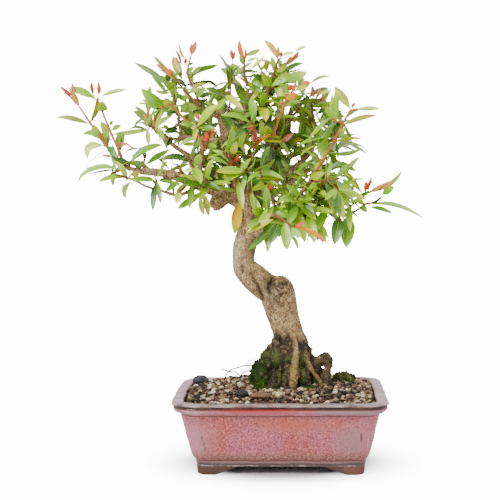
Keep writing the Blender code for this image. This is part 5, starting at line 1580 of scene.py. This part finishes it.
def spurs_by_shoot(limb_points, shoot_points):
    """Short leafy twigs that fill the crown, each listed under the shoot nearest to it."""
    rng = random.Random(29)
    wood_points = limb_points + [point for _, point in shoot_points]
    tree = front_tree(wood_points)
    found = {name: [] for name in SHOOTS}
    for (x, z), (wide, high), (before, behind), count in CLOUDS:
        for index in range(count):
            reach = math.sqrt((index + 0.5) / count)
            turn = index * GOLDEN_ANGLE
            spot = Vector((x + wide * reach * math.cos(turn), 0, z + high * reach * math.sin(turn)))
            foot = wood_points[tree.find(spot)[1]]
            tip = Vector((spot.x, foot.y + rng.uniform(before, behind), spot.z))
            apart = (tip - foot).length
            if apart < SPUR_SHORTEST:
                tip = foot + (tip - foot) * SPUR_SHORTEST / apart
            bend = foot.lerp(tip, 0.5) + Vector((rng.uniform(-3, 3), rng.uniform(-3, 3), -0.1 * apart))
            name = min(shoot_points, key=lambda entry: (entry[1] - tip).length)[0]
            found[name].append([seen(*place) for place in smooth_path([foot, bend, tip], STEM_STEP)])
    return found


def crosses_gap(points):
    """Whether a fill leaf would close one of the crown's gaps, as the eye sees it."""
    shares = (0.0, 0.25, 0.5, 0.75, 1.0)
    spots = front_spots(np.array([points[0].lerp(points[-1], share) for share in shares]))
    return any(math.dist(spot, middle) < reach for spot in spots for middle, reach in GAPS)


def turned_marks(marks, degrees, share):
    """Marks turned about the first one and drawn in towards it."""
    (x, z), turn = marks[0], math.radians(degrees)
    across, up = share * math.cos(turn), share * math.sin(turn)
    return [(x + (a - x) * across - (b - z) * up, z + (a - x) * up + (b - z) * across) for a, b in marks]


def tapered(stem, thick, thin):
    last = len(stem) - 1
    return [(*place, thick + (thin - thick) * index / last) for index, place in enumerate(stem)]


def shown_leaves(rng, name):
    """The leaves that the front view shows, and two smaller twins beside each new tip."""
    shown = [(kind, width, list(zip(x_z[::2], x_z[1::2]))) for kind, width, *x_z in LEAVES.get(name, [])]
    tips = [leaf for leaf in shown if leaf[0] in TIP_KINDS]
    for _, width, marks in tips:
        for side in (-1, 1):
            twin = turned_marks(marks, side * rng.uniform(6, 17), rng.uniform(0.55, 0.85))
            shown.append((rng.choice(TIP_KINDS), width * 0.55, twin))
    return shown


def model_shoot(name, sprig, limb_tree, limb_points, spurs):
    """Gives a sprig its young stem, the leaves that the front view shows, and the fill behind them."""
    points, length, pairs = SHOOTS[name]
    rng = random.Random(list(SHOOTS).index(name) + 11)
    marks = smooth_path(points, STEM_STEP)
    stem = [seen(*mark) for mark in marks]
    sprig.stems.append(tapered(stem, *(PINK_RADII if name in PINK_STEMS else SHOOT_RADII)))
    for kind, width, leaf_marks in shown_leaves(rng, name):
        x, z = leaf_marks[0]
        anchor = min(marks, key=lambda m: math.hypot(m[0] - x, m[2] - z))
        apart = math.hypot(anchor[0] - x, anchor[2] - z)
        _, index, limb_apart = limb_tree.find((x, 0, z))
        if limb_apart < apart - LIMB_CLOSER_BY:
            anchor = limb_points[index]
        leaf_points, full_width, face = seen_leaf(rng, leaf_marks, width, kind, anchor)
        sprig.add_leaf(rng, leaf_points, full_width, face, kind)
        foot, start = seen(*anchor), leaf_points[0]
        gap = (foot - start).length
        if gap > 0.5:
            sprig.add_stem(
                (foot, 1.2), (foot.lerp(start, 0.55) + Vector((0, 0, -0.08 * gap)), 1.0),
                (start.lerp(leaf_points[1], 0.06), 0.8),
            )
    more = pair_leaves(rng, stem, pairs, length, MORE_KINDS)
    for spur in spurs:
        sprig.stems.append(tapered(spur, *SPUR_RADII))
        kinds = FRONT_KINDS if spur[-1].y < 25 else MORE_KINDS
        more += pair_leaves(rng, spur, SPUR_PAIRS, SPUR_LEAF, kinds, 0.35)
    for leaf_points, width, face, kind, place in more:
        if not crosses_gap(leaf_points) and leaf_points[-1].y <= DEEPEST:
            sprig.add_leaf(rng, leaf_points, width, face, kind)
            sprig.add_stem((place, 1.0), (leaf_points[0].lerp(leaf_points[1], 0.05), 2 / 3))


def soil_height(x, y):
    reach_x = (x - SOIL_MIDDLE[0]) / (POT_WIDTH / 2)
    reach_y = (y - SOIL_MIDDLE[1]) / (POT_DEPTH / 2)
    away = min(1.0, math.hypot(reach_x, reach_y))
    return SOIL_EDGE + (SOIL_TOP - SOIL_EDGE) * (1.0 - away ** SOIL_MOUND_POWER)


def model_soil_bed():
    """The earth under the grains, filling the pot to a mound."""
    wall = [(inset, z) for inset, z in reversed(POT_INSIDE) if 20 < z < SOIL_EDGE - 2]
    rings = [ring_at(inset + SOIL_WALL_GAP, lambda x, y: z) for inset, z in wall]
    outline = pot_ring(wall[-1][0] + SOIL_WALL_GAP)
    for scale in SOIL_RINGS:
        spots = [[m + (value - m) * scale for value, m in zip(place, SOIL_MIDDLE)] for place in outline]
        rings.append([Vector((x, y, soil_height(x, y) - SOIL_BED_DROP)) for x, y in spots])
    obj = ring_loft(rings)
    close_ring(obj, lambda place: abs(place.z - wall[0][1]) < SAME_HEIGHT)
    close_ring(obj, lambda place: math.dist(place.xy, SOIL_MIDDLE) < 12 and place.z > SOIL_EDGE)
    clean_skin(obj)
    return obj


def ball(subdivisions, radius):
    deselect_all()
    bpy.ops.mesh.primitive_ico_sphere_add(subdivisions=subdivisions, radius=radius, location=(0, 0, 0))
    return bpy.context.object


def cut_ball(rng, subdivisions, radius, cuts, nearest, farthest):
    """A ball cut by planes from all sides."""
    obj = ball(subdivisions, radius)
    for _ in range(cuts):
        way = Vector([rng.gauss(0, 1) for _ in range(3)]).normalized()
        with editing(obj):
            bpy.ops.mesh.bisect(
                plane_co=way * rng.uniform(nearest, farthest), plane_no=way, use_fill=True,
                clear_outer=True)
    return obj


def grain_blank(rng, cuts, flatness):
    obj = cut_ball(rng, 1, 1.25, cuts, 0.45, 0.8)
    clean_skin(obj, 0.05)
    places, faces = shape_of(obj)
    return places * (1, 1, flatness), faces


def scatter_grains(rng, spacing, low, high):
    """Places for grains over the whole bed: the kind, the spot, the size and a turn."""
    half_width = POT_WIDTH / 2 - GRAIN_INSET
    half_depth = POT_DEPTH / 2 - GRAIN_INSET
    radius = RIM_CORNER_RADIUS - CORNER_TIGHTENING * GRAIN_INSET
    rows, columns = (range(int(2 * half / spacing) + 1) for half in (half_depth, half_width))
    places = []
    for drop, row, column in product(GRAIN_DROPS, rows, columns):
        x = -half_width + column * spacing + rng.uniform(-0.5, 0.5) * spacing
        y = -half_depth + row * spacing + rng.uniform(-0.5, 0.5) * spacing
        size = rng.uniform(low, high)
        past_x = max(0.0, abs(x) - (half_width - radius))
        past_y = max(0.0, abs(y) - (half_depth - radius))
        skip = drop == GRAIN_DROPS[-1] and rng.random() < 0.35
        if math.hypot(past_x, past_y) > radius - size * 0.8 or skip:
            continue
        x += side_bow(x) * (1 - (y / half_depth) ** 2) * abs(x) / half_width
        z = soil_height(x, y) - drop + rng.uniform(-0.7, 0.9)
        draw = rng.random()
        kind = next(kind for kind, (up_to, *_) in GRAIN_KINDS.items() if draw < up_to)
        turn = Matrix.Rotation(rng.uniform(0, math.tau), 3, "Z")
        turn = turn @ Matrix.Rotation(rng.uniform(-0.6, 0.6), 3, "X")
        places.append((kind, (x, y, z), size, turn))
    return places


def model_grains(rng, places, kind):
    """One mesh of all grains of a kind, each with its own turn, shape and tint."""
    _, cuts, flatness, _, tints = GRAIN_KINDS[kind]
    blanks = [grain_blank(rng, cuts, flatness) for _ in range(GRAIN_SHAPES)]
    grains = Heap()
    for found, place, size, turn in places:
        if found == kind:
            verts, faces = rng.choice(blanks)
            stretch = np.array((rng.uniform(0.85, 1.35), rng.uniform(0.75, 1.0), rng.uniform(0.8, 1.1)))
            tint = np.array(linear(rng.choice(tints))) * rng.uniform(0.8, 1.15)
            grains.add((verts * stretch * size) @ np.array(turn).T + place, faces, (*tint, 1.0))
    return grains.piece(kind, "grain_tint")


def moss_tint(rng, spot, middle, way, base, bright):
    """Brighter one way in X and Z as painted light, dull brown where it is thin, with a few pale flecks."""
    if rng.random() < 0.05:
        return np.array((*linear(MOSS_FLECK), 1.0))
    lit = smooth((spot[0] - middle[0]) * way[0] + (spot[2] - middle[2]) * way[1], -14, 16)
    share = min(1.0, max(0.0, base + 0.6 * lit + rough(spot, 0.13) + rng.uniform(-0.2, 0.2)))
    low, high = np.array(linear(MOSS_DULL)), np.array(linear(bright))
    return np.array((*(low * (1 - share) + high * share), 1.0))


def model_moss(rng, place, radii, tufts, *look):
    """A cushion with a lumpy skin and short tufts all over it."""
    cushion = ball(4, 1.0)
    places = coordinates(cushion.data) * radii * 0.94 + place
    for spot in places:
        spot += (spot - place) / radii * rough(spot, 0.2) * min(3.0, 0.3 * min(radii))
    move_verts(cushion.data, places)
    normals = directions(cushion.data)
    bpy.ops.mesh.primitive_cone_add(vertices=3, radius1=1.0, radius2=0.1, depth=1.0, location=(0, 0, 0.5))
    bpy.ops.object.transform_apply(location=True)
    blade, blade_faces = shape_of(bpy.context.object)
    fur = Heap()
    for _ in range(tufts):
        index = rng.randrange(len(places))
        lean = Vector(normals[index]) + Vector([rng.uniform(-0.6, 0.6) for _ in range(3)])
        turn = lean.to_track_quat("Z", "X").to_matrix()
        size = np.array((rng.uniform(0.25, 0.45),) * 2 + (rng.uniform(1.0, 2.2),))
        shift = np.array([rng.uniform(-0.5, 0.5) for _ in range(3)])
        tuft = (blade * size) @ np.array(turn).T + places[index] + shift
        fur.add(tuft, blade_faces, moss_tint(rng, places[index], place, *look))
    tufted = fur.piece("tufts", "moss_tint")
    tints = [moss_tint(rng, spot, place, *look) * (0.5, 0.5, 0.5, 1) for spot in places]
    paint(cushion.data, "moss_tint", tints)
    return join([cushion, tufted])


def model_lump(rng, place, radii, turn, cuts, relief):
    """A stone or chip: a ball cut by planes, stretched and roughened, lying on the soil."""
    obj = cut_ball(rng, 5, 1.0, cuts, 0.72, 0.92)
    apply_modifier(obj, "REMESH", mode="VOXEL", voxel_size=0.07)
    apply_modifier(obj, "SMOOTH", factor=0.5, iterations=4)
    height = soil_height(*place) + SUNK * radii[2]
    spin = np.array(Matrix.Rotation(turn, 3, "Z"))
    places = coordinates(obj.data) * np.array(radii) @ spin.T + np.array((*place, height))
    for spot, normal in zip(places, directions(obj.data)):
        spot += normal * rough(spot, 0.35, 4, 0.9) * relief
    move_verts(obj.data, places)
    return obj


def strand(points, radius):
    """A thin round path through points as the eye sees them."""
    return [(*place, radius) for place in smooth_path([seen(*p) for p in points], STRAND_STEP)]


# What all colours, and all lengths, that a user can set have in common.
COLOUR = {"subtype": "COLOR", "size": 3, "min": 0.0, "max": 1.0}
LENGTH = {"unit": "LENGTH", "precision": 5}


class BONSAI_PG_pot(PropertyGroup):
    mauve: FloatVectorProperty(
        name="Mauve", description="The glaze where it is coolest",
        default=linear((196, 104, 130)), **COLOUR)
    coral: FloatVectorProperty(
        name="Coral", description="The glaze where it is warmest",
        default=linear((196, 88, 84)), **COLOUR)


class BONSAI_PG_wood(PropertyGroup):
    voxel: FloatProperty(
        name="Skin grid", description="Size of the wood skin's grid",
        default=0.0013, min=0.0009, max=0.004, **LENGTH)
    light: FloatVectorProperty(
        name="Light bark", description="The bark's lighter colour",
        default=linear((204, 172, 116)), **COLOUR)
    tan: FloatVectorProperty(
        name="Tan bark", description="The bark's darker colour",
        default=linear((156, 122, 82)), **COLOUR)


class BONSAI_PG_leaves(PropertyGroup):
    thickness: FloatProperty(
        name="Leaf thickness", description="Thickness of a leaf's blade",
        default=0.00035, min=0.0002, max=0.001, **LENGTH)


class BONSAI_PG_ground(PropertyGroup):
    spacing: FloatProperty(
        name="Grain spacing", description="Distance between grains",
        default=0.0048, min=0.003, max=0.02, **LENGTH)
    smallest: FloatProperty(
        name="Smallest grain", description="Radius of the smallest grains",
        default=0.0020, min=0.001, max=0.01, **LENGTH)
    largest: FloatProperty(
        name="Largest grain", description="Radius of the largest grains",
        default=0.0037, min=0.001, max=0.01, **LENGTH)
    seed: IntProperty(name="Seed", description="Start of the grains' random draws", default=5)


class BONSAI_PG_stage(PropertyGroup):
    key_power: FloatProperty(
        name="Key light", description="Power of the large light at the upper left",
        default=34.0, min=0.0, unit="POWER")
    fill_power: FloatProperty(
        name="Fill light", description="Power of the light behind on the right",
        default=9.0, min=0.0, unit="POWER")
    sky: FloatProperty(
        name="Room light", description="Strength of the light from all round",
        default=0.7, min=0.0)
    white: FloatProperty(
        name="Background", description="Brightness of the backdrop as the camera sees it",
        default=14.0, min=0.0)
    lens: FloatProperty(
        name="Lens", description="The camera's focal length",
        default=81.3, min=1.0, subtype="DISTANCE_CAMERA")


class BONSAI_OT_pot(Operator):
    """Makes the glazed pot and finishes its drain screens and wires"""
    bl_idname = "bonsai.pot"
    bl_label = "Glazed pot"

    def execute(self, context):
        finish = glaze_finish(context.scene.bonsai_pot)
        finish_piece(model_pot(), "glazed_pot", finish, "pot", 50)
        plastic = plain_finish("screen_plastic", (24, 24, 26), (38, 38, 40), 1.5, 0.55, 0.1)
        wire = plain_finish("screen_wire", (150, 150, 154), (196, 196, 200), 2.0, 0.32, 0.05, 1.0)
        for side in ("left", "right"):
            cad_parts[f"drain_screen_{side}"].material_slots[0].material = plastic
            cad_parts[f"screen_wire_{side}"].material_slots[0].material = wire
        return {"FINISHED"}


class BONSAI_OT_wood(Operator):
    """Makes the roots, trunk, limbs and twigs in one skin of bark"""
    bl_idname = "bonsai.wood"
    bl_label = "Wood"

    def execute(self, context):
        settings = context.scene.bonsai_wood
        wood = model_wood(settings.voxel / MM)
        finish_piece(wood, "barked_wood", bark_finish(settings), "wood")
        return {"FINISHED"}


class BONSAI_OT_leaves(Operator):
    """Makes every leafy shoot and the old yellow leaf"""
    bl_idname = "bonsai.leaves"
    bl_label = "Leafy shoots"

    def execute(self, context):
        thickness = context.scene.bonsai_leaves.thickness / MM
        blank = model_leaf_blank()
        leaf, stem, old = leaf_finish(), stem_finish(), old_leaf_finish()
        limb_points = [
            mark for points in (TRUNK, *LIMBS.values())
            for mark in smooth_path([p[:3] for p in points], WOOD_STEP)
        ]
        shoot_points = [
            (name, point) for name, (points, *_) in SHOOTS.items()
            for point in smooth_path(points, WOOD_STEP)
        ]
        limb_tree = front_tree(limb_points)
        spurs = spurs_by_shoot(limb_points, shoot_points)
        for name in SHOOTS:
            sprig = Sprig(blank, thickness)
            model_shoot(name, sprig, limb_tree, limb_points, spurs[name])
            piece = sprig.shoot(leaf, stem, PINK_STEM if name in PINK_STEMS else BROWN_STEM)
            finish_piece(piece, f"leafy_shoot_{name}", None, f"shoot_{name}", 60)
        sprig = Sprig(blank, thickness)
        points = [seen(*point) for point in OLD_LEAF]
        sprig.add_leaf(random.Random(3), points, OLD_LEAF_WIDTH, Vector(OLD_LEAF_FACE).normalized(), "old")
        sprig.add_stem((seen(*OLD_LEAF_FOOT), 1.0), (points[0].lerp(points[1], 0.1), 1.0))
        piece = sprig.shoot(old, old, OLD_LEAF_STEM)
        finish_piece(piece, "yellow_leaf", None, "old_yellow_leaf", 60)
        return {"FINISHED"}


class BONSAI_OT_ground(Operator):
    """Makes the soil with its grains, the moss, and what lies on the soil"""
    bl_idname = "bonsai.ground"
    bl_label = "Soil and moss"

    def execute(self, context):
        settings = context.scene.bonsai_ground
        rng = random.Random(settings.seed)
        self.add_soil(rng, settings)
        self.add_moss(rng)
        self.add_lumps(rng)
        self.add_strands()
        return {"FINISHED"}

    def add_soil(self, rng, settings):
        earth = plain_finish("earth", (44, 30, 22), (92, 64, 46), 3.0, 0.95, 1.2)
        finish_piece(model_soil_bed(), "soil_mound", earth, "soil_bed")
        places = scatter_grains(
            rng, settings.spacing / MM, settings.smallest / MM, settings.largest / MM)
        for kind, (_, _, _, look, _) in GRAIN_KINDS.items():
            finish = grain_finish(kind, *look)
            finish_piece(model_grains(rng, places, kind), f"grains_{kind}", finish, None, 24)

    def add_moss(self, rng):
        moss = moss_finish()
        for name, cushion in MOSS.items():
            cushions = [model_moss(rng, *cushion)]
            if name == "moss_front":
                cushions += [model_moss(rng, *clump, CLUMP_TUFTS, *MOSS_CLUMP_LOOK) for clump in MOSS_CLUMPS]
            finish_piece(join(cushions), f"{name}_cushion", moss, name)

    def add_lumps(self, rng):
        slate = plain_finish("dark_stone", (40, 36, 42), (84, 78, 86), 4.0, 0.65, 0.6)
        finish_piece(model_lump(rng, *STONE, 5, 0.5), "dark_stone", slate, "flat_stone")
        for name, (*chip, low, high) in CHIPS.items():
            finish = plain_finish(f"finish_{name}", low, high, 2.6, 0.85, 0.5, stretch=(2.5, 1, 1))
            finish_piece(model_lump(rng, *chip, 4, 0.35), f"{name}_lying", finish, name)

    def add_strands(self):
        straw = plain_finish("dry_stalk", (62, 44, 32), (124, 98, 70), 2.0, 0.7, 0.2)
        for name, points in STALKS.items():
            path = strand(points, STALK_RADIUS)
            path[-1] = (*path[-1][:3], STALK_RADIUS * 0.6)
            finish_piece(tubes([path], 2), f"{name}_dry", straw, name)
        roots = [strand(points, ROOTLET_RADIUS) for points in ROOTLETS]
        finish_piece(tubes(roots, 2), "fine_rootlets", straw)


def backdrop_finish(white):
    """A white floor whose glow, seen by the camera alone, starts beyond the pot's own shadow."""
    floor = Finish("white_floor", 0.7, specular=0.2)
    floor.set("Base Color", (238, 236, 241))
    near = floor.place(1.0, (POT_WIDTH / 2, POT_DEPTH / 2, 1000.0))
    away = floor.node("ShaderNodeVectorMath", near, operation="LENGTH").outputs[1]
    camera = floor.node("ShaderNodeLightPath").outputs["Is Camera Ray"]
    floor.set("Emission Color", (255, 255, 255))
    floor.set("Emission Strength", floor.times(floor.step(away, 0.7, 1.5, white), camera))
    return floor.material


def light(name, place, target, size, power, colour):
    bpy.ops.object.light_add(type="AREA", location=place)
    lamp = bpy.context.object
    lamp.name = name
    lamp.data.size = size
    lamp.data.energy = power
    lamp.data.color = colour
    lamp.rotation_euler = (Vector(target) - Vector(place)).to_track_quat("-Z", "Y").to_euler()


class BONSAI_OT_stage(Operator):
    """Makes the white floor, the soft lights and the camera"""
    bl_idname = "bonsai.stage"
    bl_label = "Stage"

    def execute(self, context):
        settings = context.scene.bonsai_stage
        deselect_all()
        bpy.ops.mesh.primitive_plane_add(size=24.0, location=(POT_MIDDLE.x, POT_MIDDLE.y, 0.0))
        floor = context.object
        floor.name = "floor"
        floor.data.transform(floor.matrix_world)
        floor.matrix_world = Matrix.Identity(4)
        floor.data.materials.append(backdrop_finish(settings.white))
        middle = POT_MIDDLE + Vector((-0.03, 0, 0.3))
        left, right = (POT_MIDDLE + Vector(place) for place in (KEY_PLACE, FILL_PLACE))
        light("key_light", left, middle, 1.1, settings.key_power, (1.0, 0.98, 0.95))
        light("fill_light", right, middle, 1.0, settings.fill_power, (0.96, 0.97, 1.0))
        self.add_room(context, settings)
        self.add_camera(context, settings.lens)
        return {"FINISHED"}

    def add_room(self, context, settings):
        """Soft light from all round, which the camera sees as a brighter white."""
        world = bpy.data.worlds.new("white_room")
        world.use_nodes = True
        context.scene.world = world
        nodes, links = world.node_tree.nodes, world.node_tree.links
        background = nodes["Background"].inputs
        background["Color"].default_value = (1.0, 1.0, 1.0, 1.0)
        strength = nodes.new("ShaderNodeMapRange")
        strength.inputs["To Min"].default_value = settings.sky
        strength.inputs["To Max"].default_value = settings.white
        camera = nodes.new("ShaderNodeLightPath").outputs["Is Camera Ray"]
        links.new(camera, strength.inputs["Value"])
        links.new(strength.outputs[0], background["Strength"])

    def add_camera(self, context, lens):
        """The camera stands at the eye, turned a little left, down and anticlockwise."""
        left, down, roll = (math.radians(turn) for turn in CAMERA_TURNS)
        bpy.ops.object.camera_add(location=POT_MIDDLE + Vector((EYE_X, -EYE_DISTANCE, EYE_HEIGHT)) * MM)
        camera = context.object
        camera.name = "camera"
        camera.data.lens = lens
        camera.data.sensor_width = 36.0
        camera.data.clip_end = 50.0
        turn = Matrix.Rotation(left, 3, "Z") @ Matrix.Rotation(math.pi / 2 - down, 3, "X")
        camera.rotation_euler = (turn @ Matrix.Rotation(roll, 3, "Z")).to_euler()
        context.scene.camera = camera


class BONSAI_PT_builder(Panel):
    """Lists the steps that build the bonsai"""
    bl_idname = "BONSAI_PT_builder"
    bl_label = "Pomegranate bonsai"
    bl_space_type = "VIEW_3D"
    bl_region_type = "UI"
    bl_category = "Bonsai"

    def draw(self, context):
        for step in STEPS:
            box = self.layout.box()
            settings = getattr(context.scene, f"bonsai_{step}")
            for name in settings.__annotations__:
                box.prop(settings, name)
            box.operator(f"bonsai.{step}")


# Each step's settings and operator, in their order.
STEPS = {
    "pot": (BONSAI_PG_pot, BONSAI_OT_pot),
    "wood": (BONSAI_PG_wood, BONSAI_OT_wood),
    "leaves": (BONSAI_PG_leaves, BONSAI_OT_leaves),
    "ground": (BONSAI_PG_ground, BONSAI_OT_ground),
    "stage": (BONSAI_PG_stage, BONSAI_OT_stage),
}
CLASSES = [item for pair in STEPS.values() for item in pair] + [BONSAI_PT_builder]


def register():
    for item in CLASSES:
        bpy.utils.register_class(item)
    for step, (group, _) in STEPS.items():
        setattr(bpy.types.Scene, f"bonsai_{step}", PointerProperty(type=group))


def unregister():
    for step in STEPS:
        delattr(bpy.types.Scene, f"bonsai_{step}")
    for item in reversed(CLASSES):
        bpy.utils.unregister_class(item)


def main():
    register()
    bpy.ops.bonsai.pot()
    bpy.ops.bonsai.wood()
    bpy.ops.bonsai.leaves()
    bpy.ops.bonsai.ground()
    bpy.ops.bonsai.stage()


if __name__ == "__main__":
    main()
